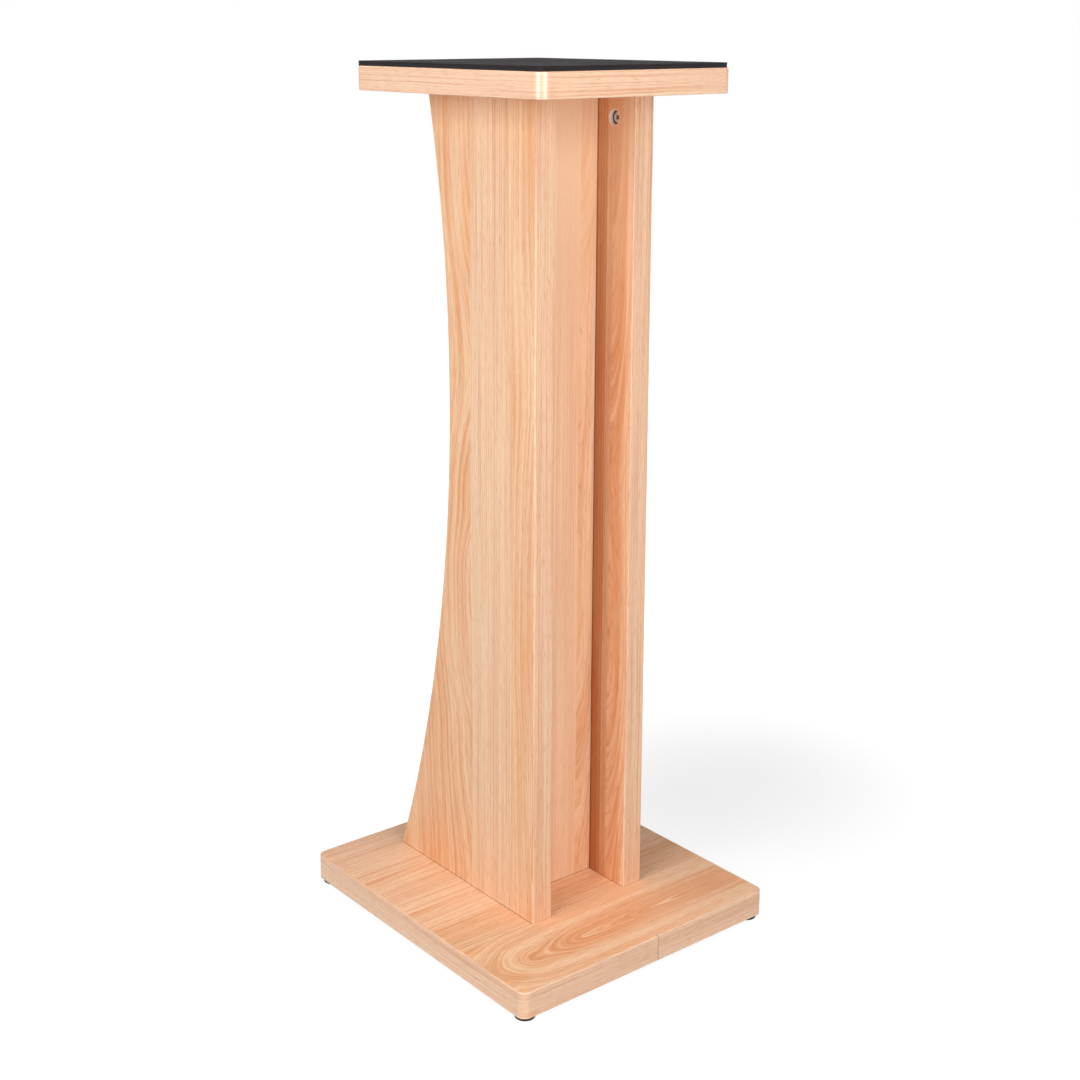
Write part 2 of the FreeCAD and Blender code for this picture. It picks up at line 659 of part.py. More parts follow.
def add_cam(label, normal, towards, x, y, z):
    """A cam lock. Its face looks along normal, and in its locked position, at rest, it holds
    the bolt that comes from the side that towards names. Turned back by half a turn, its open
    mouth faces the bolt and lets the head out."""
    body = add_body(label)
    place(body, x, y, z, facing(normal, towards))
    disc = add_sketch(body, "XY_Plane")
    add_circle(disc, "0", "0", f"(2 * {CAM_RADIUS})")
    add_pad(body, disc, "Sizes.cam_height", backwards=True)
    rim = value(CAM_RADIUS)
    rims = edges_where(body, lambda p: near(p.z, 0) and near(radius_at(p), rim))
    add_dressing(body, "Chamfer", rims, "Size", "Sizes.cam_arris")

    # The cavity that the bolt's head travels in, and the slit for its neck
    axis = "Sizes.cam_axis_depth"
    travel = "(180 deg + 2 * (atan({0}) + Sizes.cam_swing_play * 1 deg))"
    head_reach = "(Sizes.head_diameter / 2 / (Sizes.head_seat - Sizes.head_thickness))"
    cavity = add_sketch(body, "YZ_Plane")
    add_rectangle(cavity, f"(-{CAVITY_RIM})", f"(-{CAVITY_CORE})",
                  f"(-{axis} - {CAVITY_HALF})", f"(-{axis} + {CAVITY_HALF})")
    add_turning(body, "Groove", cavity, travel.format(head_reach))
    neck_reach = f"(Sizes.neck_diameter / 2 / {CAVITY_RIM})"
    slit = add_sketch(body, "YZ_Plane")
    add_rectangle(slit, f"(-{CAM_RADIUS} - {OVERCUT})", f"(-{CAVITY_RIM} + Sizes.cam_arris)",
                  f"(-{axis} - {SLIT_HALF})", f"(-{axis} + {SLIT_HALF})")
    add_turning(body, "Groove", slit, travel.format(neck_reach))

    # The mouth, opposite to the locked position
    mouth = add_sketch(body, "XY_Plane", f"(-{axis} + {CAVITY_HALF})")
    add_rectangle(mouth, f"(-{CAM_RADIUS} - {OVERCUT})", f"(-{CAVITY_CORE})",
                  f"(-{CAVITY_HALF})", CAVITY_HALF)
    add_pocket(body, mouth, f"(2 * {CAVITY_HALF})")
    add_pocket(body, add_cross(body, turn=45), "Sizes.cross_depth")
    return body


def add_turned(label, profile):
    """A turned piece from its half profile, each point a radius and a height."""
    body = add_body(label)
    sketch = add_sketch(body, "YZ_Plane")
    add_polygon(sketch, profile)
    add_turning(body, "Revolution", sketch)
    return body


def add_cam_bolt():
    """A cam bolt: thread up from the board's face, shank, neck and head down from it."""
    thread, shank = "(Sizes.bolt_thread_diameter / 2)", "(Sizes.shank_diameter / 2)"
    neck, head = "(Sizes.neck_diameter / 2)", "(Sizes.head_diameter / 2)"
    shank_end = f"(-(Sizes.cam_to_edge - {CAM_RADIUS} - Sizes.shank_play))"
    head_top = "(-(Sizes.cam_to_edge - Sizes.head_seat))"
    head_end = "(-(Sizes.cam_to_edge - Sizes.head_seat + Sizes.head_thickness))"
    return add_turned("cam_bolt", [
        ("0", head_end), (head, head_end), (head, head_top), (neck, head_top),
        (neck, shank_end), (shank, shank_end), (shank, "0"), (thread, "0"),
        (thread, "Sizes.bolt_thread_length"), ("0", "Sizes.bolt_thread_length"),
    ])


def add_dowel():
    """A wooden dowel with bevelled ends, centred on its own origin."""
    radius, half = "(Sizes.dowel_diameter / 2)", "(Sizes.dowel_length / 2)"
    narrow, shoulder = f"({radius} - Sizes.dowel_chamfer)", f"({half} - Sizes.dowel_chamfer)"
    return add_turned("dowel", [
        ("0", f"(-{half})"), (narrow, f"(-{half})"), (radius, f"(-{shoulder})"),
        (radius, shoulder), (narrow, half), ("0", half),
    ])


def add_base_screw():
    """A countersunk connecting screw with a hexagon socket, its head's face at its origin."""
    head, shoulder = "(Sizes.screw_head_diameter / 2)", "(Sizes.screw_shoulder_diameter / 2)"
    thread = "(Sizes.screw_thread_diameter / 2)"
    tip = "(Sizes.screw_length - Sizes.screw_tip_length)"
    body = add_turned("base_screw", [
        ("0", "0"), (head, "0"), (shoulder, f"({head} - {shoulder})"),
        (shoulder, "Sizes.screw_shoulder_length"), (thread, "Sizes.screw_shoulder_length"),
        (thread, tip), ("0", "Sizes.screw_length"),
    ])
    corner = "(Sizes.screw_socket / 2)"
    half_flat, rise = f"({corner} / 2)", f"({corner} * sqrt(3) / 2)"
    socket = add_sketch(body, "XY_Plane")
    add_polygon(socket, [
        (corner, "0"), (half_flat, rise), (f"(-{half_flat})", rise),
        (f"(-{corner})", "0"), (f"(-{half_flat})", f"(-{rise})"), (half_flat, f"(-{rise})"),
    ])
    add_pocket(body, socket, "Sizes.screw_socket_depth", backwards=True)
    return body


def add_foot_screw():
    """A pan-head screw, its head's face at its origin."""
    head, shank = "(Sizes.foot_screw_head / 2)", "(Sizes.foot_screw_diameter / 2)"
    height = "Sizes.foot_screw_head_height"
    length = f"({height} + Sizes.foot_screw_length)"
    return add_turned("foot_screw", [
        ("0", "0"), (head, "0"), (head, height), (shank, height),
        (shank, f"({length} - {shank})"), ("0", length),
    ])


CENTRE_CAM_HEIGHTS = [f"({BASE_TOP} + {height})" for height in both_ends("Sizes.centre_cam_inset")]
CENTRE_DOWEL_HEIGHTS = [
    f"({BASE_TOP} + {height})" for height in both_ends("Sizes.centre_dowel_inset")
]

nodes = [
    add_base_board(),
    add_ring_band("base_edge_band",
                  ("Sizes.base_width", "Sizes.base_depth", "Sizes.base_thickness"),
                  "Sizes.base_corner_radius", "Sizes.foot_height",
                  "Sizes.base_seam_offset", "(-1)"),
    add_side_panel("left_side_panel", -1),
    add_side_panel("right_side_panel", 1),
    add_centre_panel(),
    add_straight_band("left_straight_edge_band", -1),
    add_straight_band("right_straight_edge_band", 1),
    add_curved_band("left_curved_edge_band", -1),
    add_curved_band("right_curved_edge_band", 1),
    add_top_board(),
    add_ring_band("top_edge_band",
                  ("Sizes.top_width", "Sizes.top_depth", "Sizes.top_thickness"),
                  "Sizes.top_corner_radius", COLUMN_TOP, "0", "1"),
    add_speaker_pad(),
]
for label, (side_x, side_y) in FOOT_SPOTS.items():
    nodes.append(add_foot(label, side_x, side_y))

# Cams in the side panels, which hold the top board
cam_depth = "(Sizes.side_thickness / 2 - Sizes.cam_axis_depth)"
cam_height = f"({COLUMN_TOP} - Sizes.cam_to_edge)"
for side, sign in (("left", -1), ("right", 1)):
    for row, y in (("channel", CHANNEL_CAM), ("bay", BAY_CAM)):
        x = f"({sign} * ({HALF_INNER} + {cam_depth}))"
        nodes.append(add_cam(f"{side}_{row}_cam", X * -sign, Z, x, y, cam_height))

# Cams in the centre panel's back, which hold the side panels
back = f"({CENTRE_BACK} - (Sizes.centre_thickness / 2 - Sizes.cam_axis_depth))"
for side, sign in (("left", -1), ("right", 1)):
    for level, z in zip(("lower", "upper"), CENTRE_CAM_HEIGHTS):
        x = f"({sign} * {CENTRE_CAM})"
        nodes.append(add_cam(f"{side}_{level}_centre_cam", Y, X * sign, x, back, z))

# Fasteners, one pattern of each kind, copied to its places
cam_bolt, dowel = add_cam_bolt(), add_dowel()
base_screw, foot_screw = add_base_screw(), add_foot_screw()
upright = FreeCAD.Rotation()
nodes += [
    add_group("top_cam_bolts", cam_bolt,
              [(x, y, COLUMN_TOP, upright) for x, y in TOP_BOLT_SPOTS]),
    add_group("centre_cam_bolts", cam_bolt,
              [(f"({sign} * {HALF_INNER})", CENTRE_MIDDLE, z, FreeCAD.Rotation(Z, X * sign))
               for sign in (-1, 1) for z in CENTRE_CAM_HEIGHTS]),
    add_group("top_dowels", dowel,
              [(x, y, COLUMN_TOP, upright) for x, y in TOP_DOWEL_SPOTS]),
    add_group("centre_dowels", dowel,
              [(f"({sign} * {HALF_INNER})", CENTRE_MIDDLE, z, FreeCAD.Rotation(Z, X))
               for sign in (-1, 1) for z in CENTRE_DOWEL_HEIGHTS]),
    add_group("base_screws", base_screw,
              [(x, y, "(Sizes.foot_height + Sizes.screw_sink)", upright)
               for x, y in SCREW_SPOTS]),
    add_group("foot_screws", foot_screw,
              [(*foot_spot(*side), "Sizes.foot_screw_recess", upright)
               for side in FOOT_SPOTS.values()]),
]

doc.recompute()
for item in doc.Objects:
    if "Invalid" in item.State or "Error" in item.State:
        raise RuntimeError(f"{item.Label} did not build: {item.State}")
for node in nodes:
    if node.Shape.isNull() or not node.Shape.isValid():
        raise RuntimeError(f"{node.Label} has no valid shape")

os.makedirs("parts", exist_ok=True)
for node in nodes:
    node.Shape.exportStep(f"parts/{node.Label}.step")
    print(f"{node.Label}: {len(node.Shape.Solids)} solids, {node.Shape.Volume / 1000:.1f} cm3")
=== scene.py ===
import json
import math

import bmesh
import bpy
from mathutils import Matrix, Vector

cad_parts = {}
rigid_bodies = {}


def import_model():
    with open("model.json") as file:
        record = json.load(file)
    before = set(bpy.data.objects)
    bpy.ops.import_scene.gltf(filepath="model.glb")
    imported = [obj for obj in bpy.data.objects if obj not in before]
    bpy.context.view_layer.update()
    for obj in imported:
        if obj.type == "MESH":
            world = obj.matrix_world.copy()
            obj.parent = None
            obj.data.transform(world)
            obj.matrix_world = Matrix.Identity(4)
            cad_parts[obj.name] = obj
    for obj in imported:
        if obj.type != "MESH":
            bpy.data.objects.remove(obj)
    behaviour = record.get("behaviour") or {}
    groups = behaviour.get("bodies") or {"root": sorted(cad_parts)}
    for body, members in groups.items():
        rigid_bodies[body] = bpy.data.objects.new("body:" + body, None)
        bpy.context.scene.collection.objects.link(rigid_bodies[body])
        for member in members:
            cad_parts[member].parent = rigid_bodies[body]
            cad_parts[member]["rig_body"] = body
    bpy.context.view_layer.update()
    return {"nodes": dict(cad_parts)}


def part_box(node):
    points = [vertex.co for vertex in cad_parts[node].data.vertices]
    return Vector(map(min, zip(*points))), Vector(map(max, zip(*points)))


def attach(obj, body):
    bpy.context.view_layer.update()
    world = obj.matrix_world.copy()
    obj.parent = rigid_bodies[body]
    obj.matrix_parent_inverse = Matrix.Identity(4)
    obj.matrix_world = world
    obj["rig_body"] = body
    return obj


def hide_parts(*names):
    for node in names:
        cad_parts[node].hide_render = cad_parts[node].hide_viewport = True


# A floor stand for one loudspeaker in a light wood laminate: base board, two shaped side panels
# with a recessed centre panel between them, top board and soft pad. X runs across the stand,
# Y from the cable channel to the curved side, Z up, all in metres.

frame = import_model()
nodes = frame["nodes"]

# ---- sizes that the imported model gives

base_low, base_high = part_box("base_edge_band")
top_low, top_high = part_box("top_edge_band")
panel_low, panel_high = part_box("right_side_panel")
centre_low, centre_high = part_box("centre_panel")
straight_low, straight_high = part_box("right_straight_edge_band")
curved_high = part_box("right_curved_edge_band")[1]

BAND_THICKNESS = straight_high.y - straight_low.y
PANEL_THICKNESS = panel_high.x - panel_low.x
COLUMN_FOOT = panel_low.z

# The concave edge is one arc
CURVE_RADIUS = 1.536
WAIST_HEIGHT = COLUMN_FOOT + 0.534

BAND_CORNER_RADIUS = 0.010
BAND_ARRIS = 0.0012
BASE_SEAM_X = 0.0112
TOP_SEAM_X = 0.0
SEAM_GAP = 0.0003

# ---- sizes of the finishes. A pair says where a mark starts to change and where it has changed

PRINT_DEPTH = (0.0004, 0.00038)     # below a board's face, where chipboard turns to print
CHIPPED_AND_LIT_RING = (0.0088, 0.0091)     # round a cam's bore, from its axis: chipped edge and painted light on its wall
CAM_DISC = (0.0052, 0.0055)         # the turning disc's edge
CAM_RIM = (0.0070, 0.0073)          # the edge of the cam's housing
CAM_CROSS_REACH = 0.0045            # the cross slot lies within this
SEAM_LINE = (0.0003, 0.0009)        # dark, where a band's two ends meet
FOOT_SHADE_LINE = (0.0003, 0.0009)        # painted shade, where the column stands on the base
BUTT_SHADE_LINE = (0.0004, 0.0026)        # painted shade, in the corner beside the centre panel
PAINTED_LIFT_RISE = (0.58, 0.88)           # heights between which painted light makes the channel paler
RINGS_PER_METRE = 105.0
MIDDLE_TONE = 0.5                   # the tone that leaves the print as it is
HEART_SHIFT = 0.5                   # added to a heart's place, so that a ramp can hold it
LAST_STRIP = 0.1                    # the width that a ramp keeps for its last strip
BEND_GAIN = 5                       # a ramp holds bends this many times larger

FLAT_WITHIN = math.radians(0.3)
BEVELLED_FROM = math.radians(35)
SHARP_FROM = math.radians(60)


def shade(red, green, blue):
    """A colour written as it looks on a screen, 0 to 255, in the linear values that nodes take."""
    linear = []
    for part in (red, green, blue):
        part /= 255
        linear.append(part / 12.92 if part <= 0.04045 else ((part + 0.055) / 1.055) ** 2.4)
    return (*linear, 1.0)


# ---- node building

def put(tree, kind, sockets=None, **properties):
    """A node of one kind. Sockets are given by name or number, as a value or another's output."""
    made = tree.nodes.new(kind)
    for name, setting in properties.items():
        setattr(made, name, setting)
    for key, source in (sockets or {}).items():
        feed(tree, made.inputs[key], source)
    return made


def feed(tree, socket, source):
    if isinstance(source, bpy.types.NodeSocket):
        tree.links.new(source, socket)
    else:
        socket.default_value = source


def maths(tree, operation, *values, clamp=False):
    return put(tree, "ShaderNodeMath", dict(enumerate(values)),
               operation=operation, use_clamp=clamp).outputs[0]


def vector(tree, x, y, z):
    return put(tree, "ShaderNodeCombineXYZ", {0: x, 1: y, 2: z}).outputs[0]


def split(tree, source):
    return put(tree, "ShaderNodeSeparateXYZ", {0: source}).outputs


def remap(tree, source, low, high, to_low=0.0, to_high=1.0, smooth=False):
    """source's stretch from low to high, spread over to_low to to_high and held there."""
    kind = "SMOOTHSTEP" if smooth else "LINEAR"
    made = put(tree, "ShaderNodeMapRange", {0: source, 1: low, 2: high, 3: to_low, 4: to_high},
               interpolation_type=kind)
    return made.outputs[0]


def mix(tree, factor, first, second, blend="MIX"):
    made = put(tree, "ShaderNodeMix", data_type="RGBA", blend_type=blend)
    feed(tree, made.inputs[0], factor)
    feed(tree, made.inputs[6], first)
    feed(tree, made.inputs[7], second)
    return made.outputs[2]


def noise(tree, place, scale, detail=2.0, roughness=0.5, distortion=0.0):
    made = put(tree, "ShaderNodeTexNoise", {
        "Vector": place, "Scale": scale, "Detail": detail,
        "Roughness": roughness, "Distortion": distortion,
    })
    return made.outputs[0]


def group(name, inputs, outputs):
    """An empty shader group. inputs gives each input's kind and its first value."""
    tree = bpy.data.node_groups.new(name, "ShaderNodeTree")
    for label, (kind, start) in inputs.items():
        socket = tree.interface.new_socket(label, in_out="INPUT", socket_type=f"NodeSocket{kind}")
        if start is not None:
            socket.default_value = start
    for label, kind in outputs.items():
        tree.interface.new_socket(label, in_out="OUTPUT", socket_type=f"NodeSocket{kind}")
    given, out = tree.nodes.new("NodeGroupInput"), tree.nodes.new("NodeGroupOutput")
    return tree, given.outputs, out.inputs


def use(tree, group_tree, **inputs):
    """Place a group. An input's name is written with _ for a space."""
    made = tree.nodes.new("ShaderNodeGroup")
    made.node_tree = group_tree
    for name, source in inputs.items():
        feed(tree, made.inputs[name.replace("_", " ")], source)
    return made.outputs


def distance(tree, x, y):
    """How far a point lies from its plane's origin."""
    return put(tree, "ShaderNodeVectorMath", {0: vector(tree, x, y, 0.0)},
               operation="LENGTH").outputs["Value"]


# ---- shared effects

def make_fibres():
    """Lines that keep to the grain: broad streaks, threads and short open pores. Grain is the
    distance across them and Along the distance down them."""
    tree, given, out = group(
        "fibres", {"Grain": ("Float", 0.0), "Along": ("Float", 0.0), "Seed": ("Float", 0.0)},
        {"Streaks": "Float", "Threads": "Float", "Pores": "Float"})
    # Each kind's noise per metre across and along, its detail, and the levels it is spread between
    for label, fine, long, detail, low, high in (
            ("Streaks", 75.0, 0.8, 2.0, 0.30, 0.70), ("Threads", 760.0, 3.0, 2.0, 0.30, 0.70),
            ("Pores", 1500.0, 60.0, 1.0, 0.52, 0.72)):
        place = vector(tree, maths(tree, "MULTIPLY", given["Grain"], fine),
                       maths(tree, "MULTIPLY", given["Along"], long), given["Seed"])
        feed(tree, out[label], remap(tree, noise(tree, place, 1.0, detail, 0.6), low, high))
    return tree


PALE = shade(251, 214, 178)
PINK = shade(241, 195, 161)
HONEY = shade(240, 178, 124)
AMBER = shade(227, 148, 95)
RUSSET = shade(206, 128, 80)
# Painted shade where the column stands on the base
FOOT_SHADE_BROWN = shade(96, 62, 42)
# Painted shade in the corner beside the centre panel
CORNER_SHADE_BROWN = shade(96, 50, 32)
SEAM_BROWN = shade(150, 98, 66)
# Chipped chipboard, and painted light on a cam bore's wall
CHIP_PALE_AND_LIT = shade(255, 243, 236)


def make_decor():
    """The laminate's print. Grain lines lie at equal distances from a heart that is sunk below the
    face by Bend, so they run straight where it stays deep and arch where it rises."""
    tree, given, out = group(
        "wood print",
        {"Across": ("Float", 0.0), "Along": ("Float", 0.0), "Heart": ("Float", 0.0),
         "Bend": ("Float", 0.0), "Figure": ("Float", 0.5), "Warmth": ("Float", 0.5),
         "Tone": ("Float", 0.5), "Seed": ("Float", 0.0)},
        {"Color": "Color", "Gloss": "Float", "Relief": "Float"})
    across, along, seed = given["Across"], given["Along"], given["Seed"]
    tremble_place = vector(tree, maths(tree, "MULTIPLY", across, 22.0),
                           maths(tree, "MULTIPLY", along, 5.0), seed)
    tremble = maths(tree, "SUBTRACT", noise(tree, tremble_place, 1.0, 3.0), 0.5)
    reach = remap(tree, given["Figure"], 0.0, 1.0, 0.0015, 0.0060)
    tremble = maths(tree, "MULTIPLY", tremble, reach)
    from_heart = maths(tree, "SUBTRACT", across, given["Heart"])
    grain = maths(tree, "SQRT", maths(tree, "ADD", maths(tree, "POWER", from_heart, 2.0),
                                      maths(tree, "POWER", given["Bend"], 2.0)))
    grain = maths(tree, "ADD", grain, tremble)
    lines = use(tree, fibres, Grain=grain, Along=along, Seed=seed)

    # Growth rings: each darkens slowly outwards and ends sharply
    uneven = noise(tree, vector(tree, maths(tree, "MULTIPLY", grain, 70.0), 0.0, seed), 1.0, 1.0)
    turn = maths(tree, "FRACT", maths(tree, "ADD", maths(tree, "MULTIPLY", grain, RINGS_PER_METRE),
                                      maths(tree, "MULTIPLY", uneven, 2.2)))
    ring = maths(tree, "MULTIPLY", remap(tree, turn, 0.15, 0.88, smooth=True),
                 remap(tree, turn, 0.90, 1.0, 1.0, 0.0, smooth=True))
    cloud_place = vector(tree, maths(tree, "MULTIPLY", across, 40.0),
                         maths(tree, "MULTIPLY", along, 5.0), seed)
    cloud = noise(tree, cloud_place, 1.0, 3.0)

    warm = maths(tree, "ADD", given["Warmth"],
                 maths(tree, "MULTIPLY", maths(tree, "SUBTRACT", cloud, 0.5), 0.9), clamp=True)
    color = mix(tree, remap(tree, warm, 0.0, 0.5), PINK, PALE)
    color = mix(tree, remap(tree, warm, 0.4, 1.0), color, HONEY)
    ring = maths(tree, "MULTIPLY", maths(tree, "MULTIPLY", ring, given["Figure"]), 0.62)
    ring = maths(tree, "MULTIPLY", ring, remap(tree, cloud, 0.3, 0.62, 0.25, 1.0))
    color = mix(tree, ring, color, AMBER)
    core = maths(tree, "MULTIPLY", remap(tree, grain, 0.003, 0.026, 0.80, 0.0, smooth=True),
                 given["Figure"])
    color = mix(tree, core, color, AMBER)
    color = mix(tree, remap(tree, lines["Streaks"], 0.45, 1.0, 0.0, 0.34), color, AMBER)
    color = mix(tree, remap(tree, lines["Streaks"], 0.0, 0.45, 0.34, 0.0), color, PALE)
    plain = remap(tree, given["Figure"], 0.2, 1.0, 1.0, 0.6)
    dark_thread = remap(tree, lines["Threads"], 0.5, 0.95, 0.0, 0.55)
    color = mix(tree, maths(tree, "MULTIPLY", dark_thread, plain), color, RUSSET)
    color = mix(tree, remap(tree, lines["Threads"], 0.05, 0.45, 0.65, 0.0), color, PALE)
    color = mix(tree, maths(tree, "MULTIPLY", lines["Pores"], 0.45), color, RUSSET)
    deep = mix(tree, 1.0, color, shade(216, 186, 160), "MULTIPLY")
    color = mix(tree, remap(tree, given["Tone"], 0.5, 1.0), color, deep)
    color = mix(tree, remap(tree, given["Tone"], 0.0, 0.5, 0.8, 0.0), color, PALE)

    feed(tree, out["Color"], color)
    feed(tree, out["Gloss"], lines["Threads"])
    relief = maths(tree, "MULTIPLY", maths(tree, "ADD", lines["Threads"], lines["Pores"]), -0.5)
    feed(tree, out["Relief"], relief)
    return tree


def make_chipboard():
    """The pressed wood chips inside a board."""
    tree, given, out = group("chipboard", {"Place": ("Vector", None)},
                             {"Color": "Color", "Relief": "Float"})
    chips = put(tree, "ShaderNodeTexVoronoi", {"Vector": given["Place"], "Scale": 650.0})
    crumb = noise(tree, given["Place"], 1400.0, 3.0)
    tint = maths(tree, "FRACT", maths(tree, "MULTIPLY", chips.outputs["Distance"], 2.7))
    color = mix(tree, tint, shade(222, 194, 158), shade(244, 224, 196))
    color = mix(tree, remap(tree, crumb, 0.55, 0.8), color, shade(176, 138, 98))
    feed(tree, out["Color"], color)
    feed(tree, out["Relief"], crumb)
    return tree


def make_handling():
    """Faint smudges and dust that change how glossy a surface is."""
    tree, given, out = group("handling marks", {"Place": ("Vector", None), "Size": ("Float", 9.0)},
                             {"Smudge": "Float", "Dust": "Float"})
    smudge = noise(tree, given["Place"], given["Size"], 4.0, 0.6, 0.6)
    specks = noise(tree, given["Place"], 900.0, 2.0, 0.7)
    feed(tree, out["Smudge"], remap(tree, smudge, 0.35, 0.7, smooth=True))
    feed(tree, out["Dust"], remap(tree, specks, 0.66, 0.78, smooth=True))
    return tree


fibres = make_fibres()
decor = make_decor()
chipboard = make_chipboard()
handling = make_handling()


# ---- materials

def material(name):
    made = bpy.data.materials.new(name)
    made.use_nodes = True
    tree = made.node_tree
    tree.nodes.clear()
    surface = tree.nodes.new("ShaderNodeBsdfPrincipled")
    output = tree.nodes.new("ShaderNodeOutputMaterial")
    tree.links.new(surface.outputs[0], output.inputs["Surface"])
    return made, tree, surface.inputs


def object_place(tree):
    return put(tree, "ShaderNodeTexCoord").outputs["Object"]


def bump(tree, height, strength, distance):
    return put(tree, "ShaderNodeBump", {
        "Height": height, "Strength": strength, "Distance": distance,
    }).outputs[0]


def held(tree, place, rows):
    """Up to three values that hold from one edge to the next. A row gives its edge, in metres,
    and its values, 0 to 1."""
    low, high = rows[0][0], rows[-1][0] + LAST_STRIP
    ramp = put(tree, "ShaderNodeValToRGB", {0: remap(tree, place, low, high)})
    ramp.color_ramp.interpolation = "CONSTANT"
    stops = ramp.color_ramp.elements
    for index, (edge, *values) in enumerate(rows):
        stop = stops[index] if index < 2 else stops.new(1.0)
        stop.position = (edge - low) / (high - low)
        stop.color = (*values, 1.0)
    return split(tree, ramp.outputs[0])


def eased(tree, place, rows):
    """One value that eases from each row's place, in metres, to the next."""
    low, high = rows[0][0], rows[-1][0]
    ramp = put(tree, "ShaderNodeValToRGB", {0: remap(tree, place, low, high)})
    ramp.color_ramp.interpolation = "EASE"
    stops = ramp.color_ramp.elements
    for index, (edge, value) in enumerate(rows):
        stop = stops[index] if index < 2 else stops.new(1.0)
        stop.position = (edge - low) / (high - low)
        stop.color = (*[value * BEND_GAIN] * 3, 1.0)
    return maths(tree, "DIVIDE", split(tree, ramp.outputs[0])[0], BEND_GAIN)


def channel_tone(tree, axes, height, tone, painted_lift):
    """tone where a board faces the channel, partly print and partly painted shade and light, made
    paler towards its head by the lift as painted light, and the middle tone elsewhere."""
    # Painted light: the channel grows paler towards its head
    painted_fade = remap(tree, height, *PAINTED_LIFT_RISE, 0.0, painted_lift, smooth=True)
    tone = maths(tree, "SUBTRACT", tone, painted_fade)
    shown = maths(tree, "LESS_THAN", maths(tree, "ABSOLUTE", axes["x"]), panel_middle)
    shown = maths(tree, "MULTIPLY", shown, maths(tree, "LESS_THAN", axes["y"], centre_middle))
    return put(tree, "ShaderNodeMix", {0: shown, 2: MIDDLE_TONE, 3: tone}).outputs[0]


def inner_face_marks(tree, place, axes, color, chips):
    """color with what only a side panel's inner face has: a pale ring round each of its two cam
    bores, partly chipped chipboard and partly painted light on the bore's wall, and a line of
    painted shade in the corner where the centre panel butts against it."""
    inside = maths(tree, "LESS_THAN", maths(tree, "ABSOLUTE", axes["x"]), panel_middle)
    for mouth in cam_mouths:
        away = distance(tree, maths(tree, "SUBTRACT", axes["y"], mouth.y),
                        maths(tree, "SUBTRACT", axes["z"], mouth.z))
        ragged = maths(tree, "MULTIPLY", noise(tree, place, 900.0, 2.0), 0.0012)
        # A chipped edge, and painted light on the bore's wall
        chipped_and_lit = remap(tree, maths(tree, "ADD", away, ragged), *CHIPPED_AND_LIT_RING, 1.0, 0.0)
        chipped_and_lit = maths(tree, "MULTIPLY", chipped_and_lit, inside)
        color = mix(tree, chipped_and_lit, color, mix(tree, 0.8, chips, CHIP_PALE_AND_LIT))
    # Painted shade in the corner beside the centre panel
    corner_shade = maths(tree, "ABSOLUTE", maths(tree, "SUBTRACT", axes["y"], centre_low.y))
    corner_shade = maths(tree, "MULTIPLY", remap(tree, corner_shade, *BUTT_SHADE_LINE, 0.75, 0.0), inside)
    return mix(tree, corner_shade, color, CORNER_SHADE_BROWN)


def laminate(name, across, along, through, middle, half_thickness,
             strips, sunk, seed, painted_lift=0.0):
    """Printed laminate on both faces of a board and chipboard between them. across, along and
    through name the board's axes, and middle is its middle plane on the third of them. A strip
    gives where it starts across the board, how far its rings show, its warmth, its tone, its
    heart's place, how much of the bend it takes, and how much comes off the bend first. sunk
    gives the bend along the board. Given a lift, the board's tone is kept to the channel, where it
    is partly print and partly painted shade and light, and painted light makes it paler towards
    its head by that lift. An upright board has a line of painted shade where its foot meets the
    base."""
    made, tree, surface = material(name)
    place = object_place(tree)
    axes = dict(zip("xyz", split(tree, place)))
    figure, warmth, tone = held(tree, axes[across], [row[:4] for row in strips])
    if painted_lift:
        tone = channel_tone(tree, axes, axes[along], tone, painted_lift)
    heart, take, turned = held(tree, axes[across], [
        (row[0], row[4] + HEART_SHIFT, row[5], row[6]) for row in strips])
    bend = maths(tree, "SUBTRACT", eased(tree, axes[along], sunk), turned)
    bend = maths(tree, "MULTIPLY", bend, take)
    strip_seed = maths(tree, "ADD", maths(tree, "MULTIPLY", heart, 31.0), seed)
    printed = use(tree, decor, Across=axes[across], Along=axes[along], Bend=bend,
                  Heart=maths(tree, "SUBTRACT", heart, HEART_SHIFT), Figure=figure,
                  Warmth=warmth, Tone=tone, Seed=strip_seed)
    core = use(tree, chipboard, Place=place)
    marks = use(tree, handling, Place=place)
    from_middle = maths(tree, "ABSOLUTE", maths(tree, "SUBTRACT", axes[through], middle))
    face = remap(tree, from_middle, *(half_thickness - depth for depth in PRINT_DEPTH))
    color = mix(tree, face, core["Color"], printed["Color"])
    if along == "z":
        # Painted shade where the column's foot stands on the base
        foot = remap(tree, axes["z"], *(COLUMN_FOOT + rise for rise in FOOT_SHADE_LINE), 0.85, 0.0)
        color = mix(tree, foot, color, FOOT_SHADE_BROWN)
    if across == "y" and along == "z":
        color = inner_face_marks(tree, place, axes, color, core["Color"])
    feed(tree, surface["Base Color"], color)
    gloss = maths(tree, "ADD", 0.42, maths(tree, "MULTIPLY", printed["Gloss"], 0.08))
    gloss = maths(tree, "ADD", gloss, maths(tree, "MULTIPLY", marks["Smudge"], 0.06))
    rough = maths(tree, "ADD", gloss, remap(tree, face, 0.0, 1.0, 0.4, 0.0), clamp=True)
    feed(tree, surface["Roughness"], rough)
    relief = put(tree, "ShaderNodeMix",
                 {0: face, 2: core["Relief"], 3: printed["Relief"]}).outputs[0]
    feed(tree, surface["Normal"], bump(tree, relief, 0.35, 0.00012))
    surface["Specular IOR Level"].default_value = 0.35
    return made


